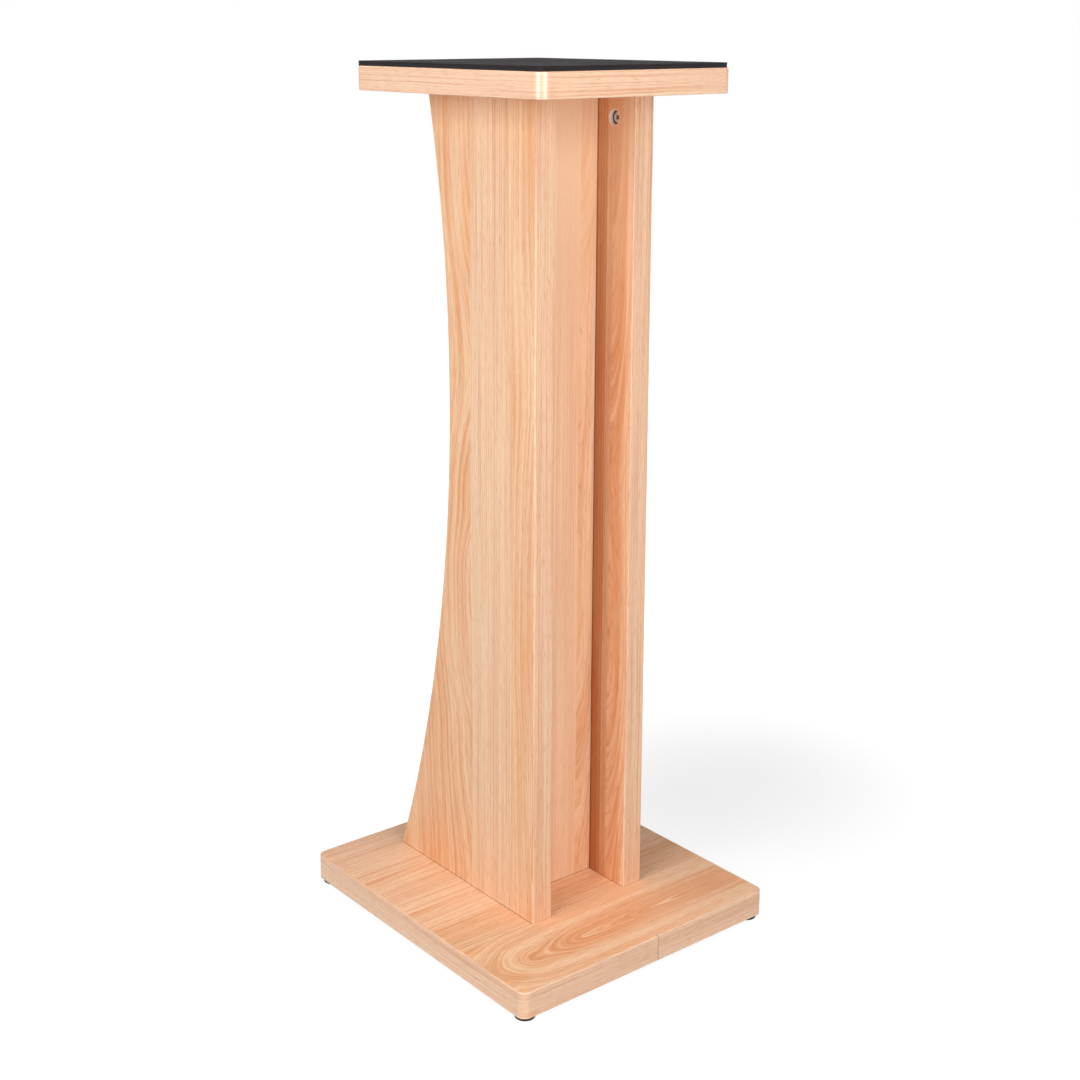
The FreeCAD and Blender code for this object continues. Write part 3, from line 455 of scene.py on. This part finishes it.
def edging(name, seed, warmth, rough, shine):
    """Plastic edging printed with straight grain along its length."""
    made, tree, surface = material(name)
    print_place = put(tree, "ShaderNodeAttribute", attribute_name="print").outputs["Vector"]
    across, along, _ = split(tree, print_place)
    waver_place = vector(tree, maths(tree, "MULTIPLY", across, 20.0),
                         maths(tree, "MULTIPLY", along, 6.0), seed)
    waver = maths(tree, "SUBTRACT", noise(tree, waver_place, 1.0, 2.0), 0.5)
    waver = maths(tree, "MULTIPLY", waver, 0.006)
    # The heart lies far off, so that the grain runs straight
    printed = use(tree, decor, Across=maths(tree, "ADD", across, waver), Along=along, Heart=-0.2,
                  Bend=0.0, Figure=0.12, Warmth=warmth, Tone=MIDDLE_TONE, Seed=seed)
    marks = use(tree, handling, Place=object_place(tree))
    seam = remap(tree, along, *SEAM_LINE, 0.50, 0.0)
    color = mix(tree, seam, printed["Color"], SEAM_BROWN)
    feed(tree, surface["Base Color"], color)
    rough = maths(tree, "ADD", rough, maths(tree, "MULTIPLY", printed["Gloss"], 0.07))
    rough = maths(tree, "ADD", rough, maths(tree, "MULTIPLY", marks["Smudge"], 0.05))
    feed(tree, surface["Roughness"], rough)
    feed(tree, surface["Normal"], bump(tree, printed["Relief"], 0.15, 0.00008))
    surface["Specular IOR Level"].default_value = shine
    return made


def foam(name):
    """Dense black foam with a fine skin."""
    made, tree, surface = material(name)
    place = object_place(tree)
    marks = use(tree, handling, Place=place, Size=14.0)
    cells = put(tree, "ShaderNodeTexVoronoi", {"Vector": place, "Scale": 900.0}).outputs["Distance"]
    cloud = noise(tree, place, 40.0, 3.0)
    color = mix(tree, cloud, shade(40, 37, 38), shade(52, 47, 49))
    color = mix(tree, maths(tree, "MULTIPLY", marks["Dust"], 0.30), color, shade(110, 104, 104))
    feed(tree, surface["Base Color"], color)
    feed(tree, surface["Roughness"], remap(tree, marks["Smudge"], 0.0, 1.0, 0.80, 0.92))
    feed(tree, surface["Normal"], bump(tree, cells, 0.5, 0.0002))
    surface["Specular IOR Level"].default_value = 0.12
    return made


def black_plastic(name):
    made, tree, surface = material(name)
    place = object_place(tree)
    marks = use(tree, handling, Place=place, Size=60.0)
    grain = noise(tree, place, 2600.0, 2.0)
    color = mix(tree, marks["Smudge"], shade(20, 19, 20), shade(34, 32, 32))
    color = mix(tree, maths(tree, "MULTIPLY", marks["Dust"], 0.4), color, shade(120, 116, 110))
    feed(tree, surface["Base Color"], color)
    feed(tree, surface["Roughness"], remap(tree, grain, 0.3, 0.7, 0.45, 0.62))
    feed(tree, surface["Normal"], bump(tree, grain, 0.3, 0.0001))
    return made


def cast_zinc(name):
    made, tree, surface = material(name)
    place = object_place(tree)
    marks = use(tree, handling, Place=place, Size=220.0)
    grain = noise(tree, place, 1500.0, 3.0)
    color = mix(tree, grain, shade(206, 202, 196), shade(232, 230, 226))
    color = mix(tree, maths(tree, "MULTIPLY", marks["Smudge"], 0.25), color, shade(160, 154, 148))
    # The open rim round the turning disc lies in shadow, and so does the cross slot
    face = put(tree, "ShaderNodeAttribute", attribute_name="face").outputs["Vector"]
    face_x, face_y, depth = split(tree, face)
    radius = distance(tree, face_x, face_y)
    rim = maths(tree, "MULTIPLY", remap(tree, radius, *CAM_DISC),
                remap(tree, radius, *CAM_RIM, 1.0, 0.5))
    color = mix(tree, maths(tree, "MULTIPLY", rim, 0.9), color, shade(62, 44, 38))
    recess = maths(tree, "MULTIPLY", remap(tree, depth, 0.0001, 0.0005, 0.0, 0.95),
                   maths(tree, "LESS_THAN", radius, CAM_CROSS_REACH))
    color = mix(tree, recess, color, shade(34, 24, 20))
    feed(tree, surface["Base Color"], color)
    surface["Metallic"].default_value = 0.75
    feed(tree, surface["Roughness"], remap(tree, marks["Smudge"], 0.0, 1.0, 0.38, 0.56))
    feed(tree, surface["Normal"], bump(tree, grain, 0.4, 0.00008))
    return made


def plated_steel(name):
    made, tree, surface = material(name)
    place = object_place(tree)
    marks = use(tree, handling, Place=place, Size=180.0)
    grain = noise(tree, place, 900.0, 3.0)
    color = mix(tree, grain, shade(176, 174, 168), shade(214, 214, 212))
    color = mix(tree, maths(tree, "MULTIPLY", marks["Smudge"], 0.2), color, shade(196, 184, 150))
    feed(tree, surface["Base Color"], color)
    surface["Metallic"].default_value = 1.0
    feed(tree, surface["Roughness"], remap(tree, marks["Smudge"], 0.0, 1.0, 0.22, 0.42))
    feed(tree, surface["Normal"], bump(tree, grain, 0.2, 0.00005))
    return made


def beech(name):
    made, tree, surface = material(name)
    place = object_place(tree)
    across, along, _ = split(tree, place)
    lines = use(tree, fibres, Grain=across, Along=along, Seed=5.0)
    color = mix(tree, lines["Threads"], shade(226, 190, 146), shade(196, 150, 106))
    feed(tree, surface["Base Color"], color)
    feed(tree, surface["Roughness"], remap(tree, lines["Streaks"], 0.3, 0.7, 0.6, 0.75))
    feed(tree, surface["Normal"], bump(tree, lines["Threads"], 0.4, 0.0001))
    return made


# ---- meshes

def new_piece(name, mesh):
    made = bpy.data.objects.new(name, mesh)
    bpy.context.scene.collection.objects.link(made)
    return made


def baked(obj):
    """The object's mesh with its modifiers worked in, and none left."""
    bpy.context.view_layer.update()
    depsgraph = bpy.context.evaluated_depsgraph_get()
    mesh = bpy.data.meshes.new_from_object(obj.evaluated_get(depsgraph), depsgraph=depsgraph)
    name = obj.name
    bpy.data.objects.remove(obj)
    mesh.name = name
    return new_piece(name, mesh)


def softened(node, finish, width):
    """A copy of a CAD node with its edges a little rounded, standing for the node."""
    mesh = nodes[node].data.copy()
    work = bmesh.new()
    work.from_mesh(mesh)
    bmesh.ops.remove_doubles(work, verts=work.verts, dist=1e-6)
    bmesh.ops.dissolve_limit(work, angle_limit=FLAT_WITHIN,
                             verts=work.verts, edges=work.edges, delimit=set())
    work.to_mesh(mesh)
    work.free()
    mesh.materials.clear()
    mesh.materials.append(finish)
    piece = new_piece(f"{node}_finished", mesh)
    edge = piece.modifiers.new("edge", "BEVEL")
    edge.width = width
    edge.segments = 2
    edge.limit_method = "ANGLE"
    edge.angle_limit = BEVELLED_FROM
    edge.use_clamp_overlap = True
    piece = evened(piece)
    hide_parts(node)
    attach(piece, nodes[node]["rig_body"])
    return piece


def evened(piece):
    """The piece with smooth shading that leaves its flat faces flat."""
    piece.data.shade_smooth()
    piece.data.set_sharp_from_angle(angle=SHARP_FROM)
    level = piece.modifiers.new("level", "WEIGHTED_NORMAL")
    level.keep_sharp = True
    return baked(piece)


# ---- edging, swept along its board

def edging_tree():
    """Geometry nodes that sweep a band's section along the curve they are given, and keep where
    each point lies on the band: across it, along it and into it."""
    tree = bpy.data.node_groups.new("sweep edging", "GeometryNodeTree")
    tree.interface.new_socket("Geometry", in_out="INPUT", socket_type="NodeSocketGeometry")
    for label in ("Width", "Thickness", "Arris"):
        tree.interface.new_socket(label, in_out="INPUT", socket_type="NodeSocketFloat")
    tree.interface.new_socket("Finish", in_out="INPUT", socket_type="NodeSocketMaterial")
    tree.interface.new_socket("Geometry", in_out="OUTPUT", socket_type="NodeSocketGeometry")
    given = tree.nodes.new("NodeGroupInput").outputs

    section = put(tree, "GeometryNodeCurvePrimitiveQuadrilateral",
                  {"Width": given["Thickness"], "Height": given["Width"]})
    position = put(tree, "GeometryNodeInputPosition").outputs[0]
    outer = put(tree, "FunctionNodeCompare", {0: split(tree, position)[0], 1: 0.0},
                data_type="FLOAT", operation="GREATER_THAN").outputs[0]
    rounding = put(tree, "GeometryNodeSwitch", {0: outer, 1: 0.0001, 2: given["Arris"]},
                   input_type="FLOAT").outputs[0]
    rounded = put(tree, "GeometryNodeFilletCurve", {
        "Curve": section.outputs[0], "Count": 5, "Radius": rounding}, mode="POLY").outputs[0]
    keep_section = tree.nodes.new("GeometryNodeCaptureAttribute")
    keep_section.capture_items.new("VECTOR", "section")
    feed(tree, keep_section.inputs[0], rounded)
    feed(tree, keep_section.inputs[1], position)

    keep_run = tree.nodes.new("GeometryNodeCaptureAttribute")
    keep_run.capture_items.new("FLOAT", "run")
    feed(tree, keep_run.inputs[0], given["Geometry"])
    feed(tree, keep_run.inputs[1], put(tree, "GeometryNodeSplineParameter").outputs["Length"])

    swept = put(tree, "GeometryNodeCurveToMesh", {
        "Curve": keep_run.outputs[0], "Profile Curve": keep_section.outputs[0],
        "Fill Caps": True}).outputs[0]
    into, over, _ = split(tree, keep_section.outputs[1])
    print_place = vector(tree, over, keep_run.outputs[1], into)
    stored = put(tree, "GeometryNodeStoreNamedAttribute", {
        "Geometry": swept, "Name": "print", "Value": print_place},
        data_type="FLOAT_VECTOR", domain="POINT").outputs[0]
    plain = put(tree, "GeometryNodeRealizeInstances", {0: stored}).outputs[0]
    coated = put(tree, "GeometryNodeSetMaterial", {
        "Geometry": plain, "Material": given["Finish"]}).outputs[0]
    feed(tree, tree.nodes.new("NodeGroupOutput").inputs[0], coated)
    return tree


def set_input(modifier, label, setting):
    for item in modifier.node_group.interface.items_tree:
        if item.name == label and item.in_out == "INPUT":
            modifier[item.identifier] = setting
            return
    raise ValueError(label)


def rail(name, points):
    """A curve object through points, as straight runs."""
    curve = bpy.data.curves.new(name, "CURVE")
    curve.dimensions = "3D"
    curve.twist_mode = "Z_UP"
    spline = curve.splines.new("POLY")
    spline.points.add(len(points) - 1)
    for target, point in zip(spline.points, points):
        target.co = (*point, 1.0)
    return new_piece(name, curve)


def sweep_band(name, node, points, width, thickness, arris, finish, rule=None):
    piece = rail(name, points)
    modifier = piece.modifiers.new("sweep", "NODES")
    modifier.node_group = edging_nodes
    for label, setting in (("Width", width), ("Thickness", thickness),
                           ("Arris", arris), ("Finish", finish)):
        set_input(modifier, label, setting)
    piece = baked(piece)
    if rule:
        for vertex in piece.data.vertices:
            vertex.co = rule(vertex.co)
    piece = evened(piece)
    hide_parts(node)
    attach(piece, "stand")
    return piece


def outline_run(low, high, radius, inset, seam_x, seam_side, height):
    """Once round a board with rounded corners, from one side of the seam to the other, with the
    band's middle line inset from the outline. seam_side is -1 or 1, the side on Y."""
    reach_x, reach_y = high.x - radius, high.y - radius
    turn = radius - inset
    gap = SEAM_GAP / 2
    steps = 10
    # Corners in order, anticlockwise from the seam side's end
    corners = [(reach_x, -reach_y, -90), (reach_x, reach_y, 0),
               (-reach_x, reach_y, 90), (-reach_x, -reach_y, 180)]
    if seam_side > 0:
        corners = corners[2:] + corners[:2]
    points = [(seam_x - seam_side * gap, seam_side * (high.y - inset), height)]
    for x, y, start in corners:
        for step in range(steps + 1):
            angle = math.radians(start + 90 * step / steps)
            points.append((x + turn * math.cos(angle), y + turn * math.sin(angle), height))
    points.append((seam_x + seam_side * gap, seam_side * (high.y - inset), height))
    return points


edging_nodes = edging_tree()


def ring_band(name, node, low, high, seam_x, seam_side, finish):
    height = (low.z + high.z) / 2
    points = outline_run(low, high, BAND_CORNER_RADIUS, BAND_THICKNESS / 2,
                         seam_x, seam_side, height)
    return sweep_band(name, node, points, high.z - low.z, BAND_THICKNESS, BAND_ARRIS, finish)


base_band_finish = edging("base_edging", 2.0, 0.20, 0.20, 0.7)
top_band_finish = edging("top_edging", 7.0, 0.12, 0.22, 1.0)
ring_band("base_band", "base_edge_band", base_low, base_high, BASE_SEAM_X, -1, base_band_finish)
ring_band("top_band", "top_edge_band", top_low, top_high, TOP_SEAM_X, 1, top_band_finish)

# ---- boards

HALF_PANEL = PANEL_THICKNESS / 2
panel_middle = (panel_low.x + panel_high.x) / 2
centre_middle = (centre_low.y + centre_high.y) / 2
BOARD_EDGE = 0.0003
cam_boxes = [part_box(node) for node in ("right_channel_cam", "right_bay_cam")]
cam_mouths = [(low + high) / 2 for low, high in cam_boxes]

base_board_low, base_board_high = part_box("base_board")
top_board_low, top_board_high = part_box("top_board")


def plate_finish(name, low, high, strips, sunk, seed):
    return laminate(name, "y", "x", "z", (low.z + high.z) / 2, (high.z - low.z) / 2,
                    strips, sunk, seed)


# Strip: start, rings, warmth, tone, heart, share of the bend, and what comes off the bend
BASE_STRIPS = (
    (-0.172, 0.80, 0.62, 0.50, -0.138, 1.0, 0.0),
    (-0.088, 0.25, 0.62, 0.58, 0.100, 0.4, 0.0),
    (-0.036, 0.62, 0.40, 0.48, 0.012, 0.45, 0.040),
    (0.008, 0.15, 0.22, 0.43, 0.300, 0.3, 0.0),
    (0.050, 0.62, 0.46, 0.48, 0.096, 0.45, 0.040),
    (0.092, 0.20, 0.35, 0.50, 0.300, 0.3, 0.0),
    (0.125, 0.10, 0.15, 0.45, 0.400, 0.2, 0.0),
)
BASE_BEND = ((-0.17, 0.040), (-0.11, 0.021), (-0.045, 0.009), (0.06, 0.005), (0.17, 0.003))
TOP_STRIPS = (
    (-0.172, 0.10, 0.30, 0.50, 0.300, 0.3, 0.0),
    (-0.020, 1.00, 0.70, 0.50, 0.040, 1.0, 0.0),
    (0.060, 0.15, 0.35, 0.50, -0.30, 0.3, 0.0),
)
LEFT_STRIPS = (
    (-0.100, 0.70, 0.66, 0.50, -0.112, 0.5, 0.0),
    (-0.054, 0.10, 0.50, 0.45, 0.300, 0.2, 0.0),
    (-0.042, 0.06, 0.30, 0.48, 0.340, 0.2, 0.0),
    (0.016, 1.00, 0.74, 0.48, -0.006, 1.0, 0.0),
)
LEFT_BEND = (
    (0.03, 0.062), (0.20, 0.046), (0.375, 0.006), (0.46, 0.030), (0.60, 0.052), (0.90, 0.002))
# On its channel face its tones darken towards the centre panel, partly print and partly painted
# shade
RIGHT_STRIPS = (
    (-0.100, 0.60, 0.55, 0.40, -0.056, 1.0, 0.0),
    (-0.079, 1.00, 0.80, 0.50, -0.056, 1.0, 0.0),
    (-0.058, 0.15, 0.60, 0.72, 0.300, 0.2, 0.0),
    (-0.049, 0.15, 0.70, 0.94, 0.300, 0.2, 0.0),
    (-0.044, 0.50, 0.80, 1.00, 0.200, 0.2, 0.0),
    (-0.010, 0.10, 0.35, 0.50, 0.300, 0.2, 0.0),
    (0.050, 1.00, 0.60, 0.50, 0.160, 1.0, 0.0),
)
RIGHT_BEND = ((0.03, 0.050), (0.28, 0.030), (0.50, 0.034), (0.70, 0.018), (0.90, 0.002))
# Its first strip's pale tone holds only on the face to the channel, as painted light
CENTRE_STRIPS = (
    (-0.052, 0.06, 0.14, 0.26, 0.300, 0.2, 0.0),
    (0.0285, 0.95, 0.70, 0.40, 0.026, 1.0, 0.0),
)
CENTRE_BEND = ((0.03, 0.050), (0.30, 0.034), (0.70, 0.030), (0.90, 0.001))

boards = {
    "base_board": plate_finish("base_laminate", base_board_low, base_board_high,
                               BASE_STRIPS, BASE_BEND, 1.0),
    "top_board": plate_finish("top_laminate", top_board_low, top_board_high,
                              TOP_STRIPS, BASE_BEND, 2.0),
    "left_side_panel": laminate("left_panel_laminate", "y", "z", "x", -panel_middle, HALF_PANEL,
                                LEFT_STRIPS, LEFT_BEND, 3.0),
    "right_side_panel": laminate("right_panel_laminate", "y", "z", "x", panel_middle, HALF_PANEL,
                                 RIGHT_STRIPS, RIGHT_BEND, 4.0, painted_lift=0.30),
    "centre_panel": laminate("centre_panel_laminate", "x", "z", "y", centre_middle,
                             (centre_high.y - centre_low.y) / 2, CENTRE_STRIPS, CENTRE_BEND, 5.0,
                             painted_lift=0.30),
}
for node, finish in boards.items():
    softened(node, finish, BOARD_EDGE)

# ---- column's edge bands


def upright_band(node, radius_centre, seed):
    """A band up a side panel's edge. It is swept flat and stood up: straight at the channel edge,
    or bent to the panel's arc, with its two ends level."""
    low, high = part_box(node)
    height = high.z - low.z
    middle = (low.x + high.x) / 2
    steps = 1 if radius_centre is None else 60
    points = [(height * step / steps, 0.0, 0.0) for step in range(steps + 1)]

    def stand_up(place):
        z = low.z + place.x
        if radius_centre is None:
            return Vector((middle - place.z, (low.y + high.y) / 2 + place.y, z))
        reach = CURVE_RADIUS + BAND_THICKNESS / 2 + place.y
        rise = z - WAIST_HEIGHT
        return Vector((middle + place.z, radius_centre - math.sqrt(reach ** 2 - rise ** 2), z))

    name = node.replace("_edge", "")
    return sweep_band(name, node, points, high.x - low.x, BAND_THICKNESS, BAND_ARRIS,
                      edging(f"{name}_edging", seed, 0.10, 0.36, 0.35), stand_up)


ARC_CENTRE = curved_high.y + math.sqrt(CURVE_RADIUS ** 2 - (WAIST_HEIGHT - COLUMN_FOOT) ** 2)
for side, seed in (("left", 11.0), ("right", 14.0)):
    upright_band(f"{side}_straight_edge_band", None, seed)
    upright_band(f"{side}_curved_edge_band", ARC_CENTRE, seed + 1.0)

# ---- pad, feet and fittings


def mark_face(piece, node):
    """Keep where each point of a cam lies about its axis, and how deep below its two ends, as
    "face". Its shortest side is the one that the axis runs along."""
    low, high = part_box(node)
    middle, size = (low + high) / 2, high - low
    axis = min(range(3), key=lambda index: size[index])
    first, second = (index for index in range(3) if index != axis)
    face = piece.data.attributes.new("face", "FLOAT_VECTOR", "POINT")
    for vertex, value in zip(piece.data.vertices, face.data):
        place = vertex.co - middle
        value.vector = (place[first], place[second], size[axis] / 2 - abs(place[axis]))


pad_finish = foam("pad_foam")
plastic = black_plastic("foot_plastic")
zinc = cast_zinc("cast_zinc")
steel = plated_steel("plated_steel")
dowel_wood = beech("dowel_beech")
for node in nodes:
    if node.endswith("_foot"):
        softened(node, plastic, 0.0003)
    elif node.endswith("_cam"):
        mark_face(softened(node, zinc, 0.00015), node)
    elif "screws" in node or "bolts" in node:
        softened(node, steel, 0.00015)
    elif "dowels" in node:
        softened(node, dowel_wood, 0.0002)


def cut_pad(name, node, inset, slip, corner, finish):
    """The foam pad as it was cut and stuck down: a sheet with rounded corners, a crushed lower
    edge, and a skin that is nowhere quite flat."""
    low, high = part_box(node)
    reach_x = (high.x - low.x) / 2 - inset
    reach_y = (high.y - low.y) / 2 - inset
    thickness = high.z - low.z
    # The side: how far it stands back, at each height from the board to the skin
    side = ((0.0, 0.0000), (0.15, 0.0004), (0.45, 0.0006), (0.75, 0.0003),
            (0.90, 0.0001), (0.97, 0.0005), (1.0, 0.0013))
    corner_steps, side_steps = 8, 24
    outline = []
    for x, y, start in ((1, -1, -90), (1, 1, 0), (-1, 1, 90), (-1, -1, 180)):
        for step in range(corner_steps + 1):
            angle = math.radians(start + 90 * step / corner_steps)
            outline.append((x * (reach_x - corner) + corner * math.cos(angle),
                            y * (reach_y - corner) + corner * math.sin(angle),
                            math.cos(angle), math.sin(angle)))
        # Points along each side, so that it can waver
        x0, y0, nx, ny = outline[-1]
        along = reach_y if abs(nx) > 0.5 else reach_x
        length = 2 * (along - corner)
        for step in range(1, side_steps):
            outline.append((x0 - ny * length * step / side_steps,
                            y0 + nx * length * step / side_steps, nx, ny))
    work = bmesh.new()
    rings_of_side = []
    for share, back in side:
        ring = []
        for x, y, nx, ny in outline:
            waver = 0.00025 * (math.sin(x * 61 + y * 47) + math.sin(x * 23 - y * 71 + 2))
            stand = back - waver * min(1.0, back / 0.0004 + 0.2)
            ring.append(work.verts.new((x - nx * max(stand, 0.0) + slip[0],
                                        y - ny * max(stand, 0.0) + slip[1],
                                        low.z + thickness * share)))
        rings_of_side.append(ring)
    for lower, upper in zip(rings_of_side, rings_of_side[1:]):
        for index in range(len(outline)):
            after = (index + 1) % len(outline)
            work.faces.new((lower[index], lower[after], upper[after], upper[index]))
    work.faces.new(rings_of_side[-1])
    work.faces.new(list(reversed(rings_of_side[0])))
    mesh = bpy.data.meshes.new(name)
    work.to_mesh(mesh)
    work.free()
    mesh.materials.append(finish)
    piece = evened(new_piece(name, mesh))
    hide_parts(node)
    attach(piece, "stand")
    return piece


cut_pad("foam_pad", "speaker_pad", 0.0006, (-0.0005, 0.0005), 0.006, pad_finish)

# ---- floor, light and camera

FLOOR_REACH = 6.0
PAPER_GLOW = 1.125
SKY_LIGHT = 0.08                    # the white world's strength, where only light is asked of it
# Where the floor keeps its shadow: a zone's centre, the radius within which the glow has its
# least share, the radius past which it has all of it, and that least share
SHADOW_ZONES = (
    ((0.36, 0.05, 0.0), 0.04, 0.48, 0.67),      # beside the stand, where the shadow falls
    ((0.0, 0.0, 0.0), 0.20, 0.34, 0.80),        # under the base
)

floor_mesh = bpy.data.meshes.new("floor")
floor_mesh.from_pydata(
    [(x * FLOOR_REACH, y * FLOOR_REACH, -0.0002) for x, y in ((-1, -1), (1, -1), (1, 1), (-1, 1))],
    [], [(0, 1, 2, 3)])
floor = new_piece("floor", floor_mesh)
floor_finish = bpy.data.materials.new("floor_white")
floor_finish.use_nodes = True
floor_tree = floor_finish.node_tree
floor_tree.nodes.clear()
# White paper that glows to the camera and in reflections, less so in the shadow's zones
path = put(floor_tree, "ShaderNodeLightPath").outputs
paper = mix(floor_tree, path["Is Camera Ray"], (0.60, 0.60, 0.60, 1.0), (0.85, 0.85, 0.86, 1.0))
matt = put(floor_tree, "ShaderNodeBsdfDiffuse", {"Color": paper})
white = put(floor_tree, "ShaderNodeEmission", {"Color": (1, 1, 1, 1), "Strength": PAPER_GLOW})
seen = maths(floor_tree, "MAXIMUM", path["Is Camera Ray"], path["Is Glossy Ray"])
shares = []
for centre, near, far, least in SHADOW_ZONES:
    away = put(floor_tree, "ShaderNodeVectorMath", {0: object_place(floor_tree), 1: centre},
               operation="DISTANCE")
    shares.append(remap(floor_tree, away.outputs["Value"], near, far, least, 1.0, smooth=True))
lift = maths(floor_tree, "MULTIPLY", seen, maths(floor_tree, "MINIMUM", *shares))
blend = put(floor_tree, "ShaderNodeMixShader", {0: lift, 1: matt.outputs[0], 2: white.outputs[0]})
put(floor_tree, "ShaderNodeOutputMaterial", {"Surface": blend.outputs[0]})
floor_mesh.materials.append(floor_finish)

world = bpy.data.worlds.new("studio")
bpy.context.scene.world = world
world.use_nodes = True
sky = world.node_tree
sky.nodes.clear()
sky_path = put(sky, "ShaderNodeLightPath").outputs
sky_seen = maths(sky, "MAXIMUM", sky_path["Is Camera Ray"], sky_path["Is Glossy Ray"])
sky_strength = remap(sky, sky_seen, 0.0, 1.0, SKY_LIGHT, 1.0)
backdrop = put(sky, "ShaderNodeBackground", {"Color": (1, 1, 1, 1), "Strength": sky_strength})
put(sky, "ShaderNodeOutputWorld", {"Surface": backdrop.outputs[0]})


def softbox(name, azimuth, distance, height, width, tall, power, aim_height):
    """A soft light, aimed at the stand's middle line at aim_height. Azimuth is turned from the
    stand's left side towards its channel side."""
    lamp = bpy.data.lights.new(name, "AREA")
    lamp.shape = "RECTANGLE"
    lamp.size, lamp.size_y = width, tall
    lamp.energy = power
    made = bpy.data.objects.new(name, lamp)
    bpy.context.scene.collection.objects.link(made)
    turn = math.radians(azimuth)
    made.location = (-distance * math.cos(turn), -distance * math.sin(turn), height)
    aim = Vector((0, 0, aim_height)) - made.location
    made.rotation_mode = "QUATERNION"
    made.rotation_quaternion = aim.to_track_quat("-Z", "Y")
    return made


softbox("left_softbox", 11, 1.95, 1.36, 1.1, 1.7, 31, 0.9)
softbox("right_softbox", 80, 1.6, 1.05, 1.0, 1.4, 18, 0.9)
softbox("top_softbox", 50, 0.9, 2.9, 1.4, 1.4, 21, 0.3)

CAMERA_PLACE = (-1.110811, -1.345653, 0.952452)
CAMERA_TURN = 38.253                # towards +X from the direction of +Y
CAMERA_TILT = 11.861                # downwards
FOCAL_PIXELS = 1710.56
FRAME_PIXELS = 1080
AXIS_PIXEL = (500.175, 381.925)     # where the lens axis meets the frame
SENSOR = 36.0

lens = bpy.data.cameras.new("camera")
lens.sensor_width = SENSOR
lens.lens = FOCAL_PIXELS / FRAME_PIXELS * SENSOR
lens.shift_x = (FRAME_PIXELS / 2 - AXIS_PIXEL[0]) / FRAME_PIXELS
lens.shift_y = (AXIS_PIXEL[1] - FRAME_PIXELS / 2) / FRAME_PIXELS
lens.clip_start = 0.05
camera = bpy.data.objects.new("camera", lens)
bpy.context.scene.collection.objects.link(camera)
camera.location = CAMERA_PLACE
camera.rotation_euler = (math.radians(90 - CAMERA_TILT), 0, math.radians(-CAMERA_TURN))
bpy.context.scene.camera = camera
bpy.context.scene.view_settings.view_transform = "Standard"
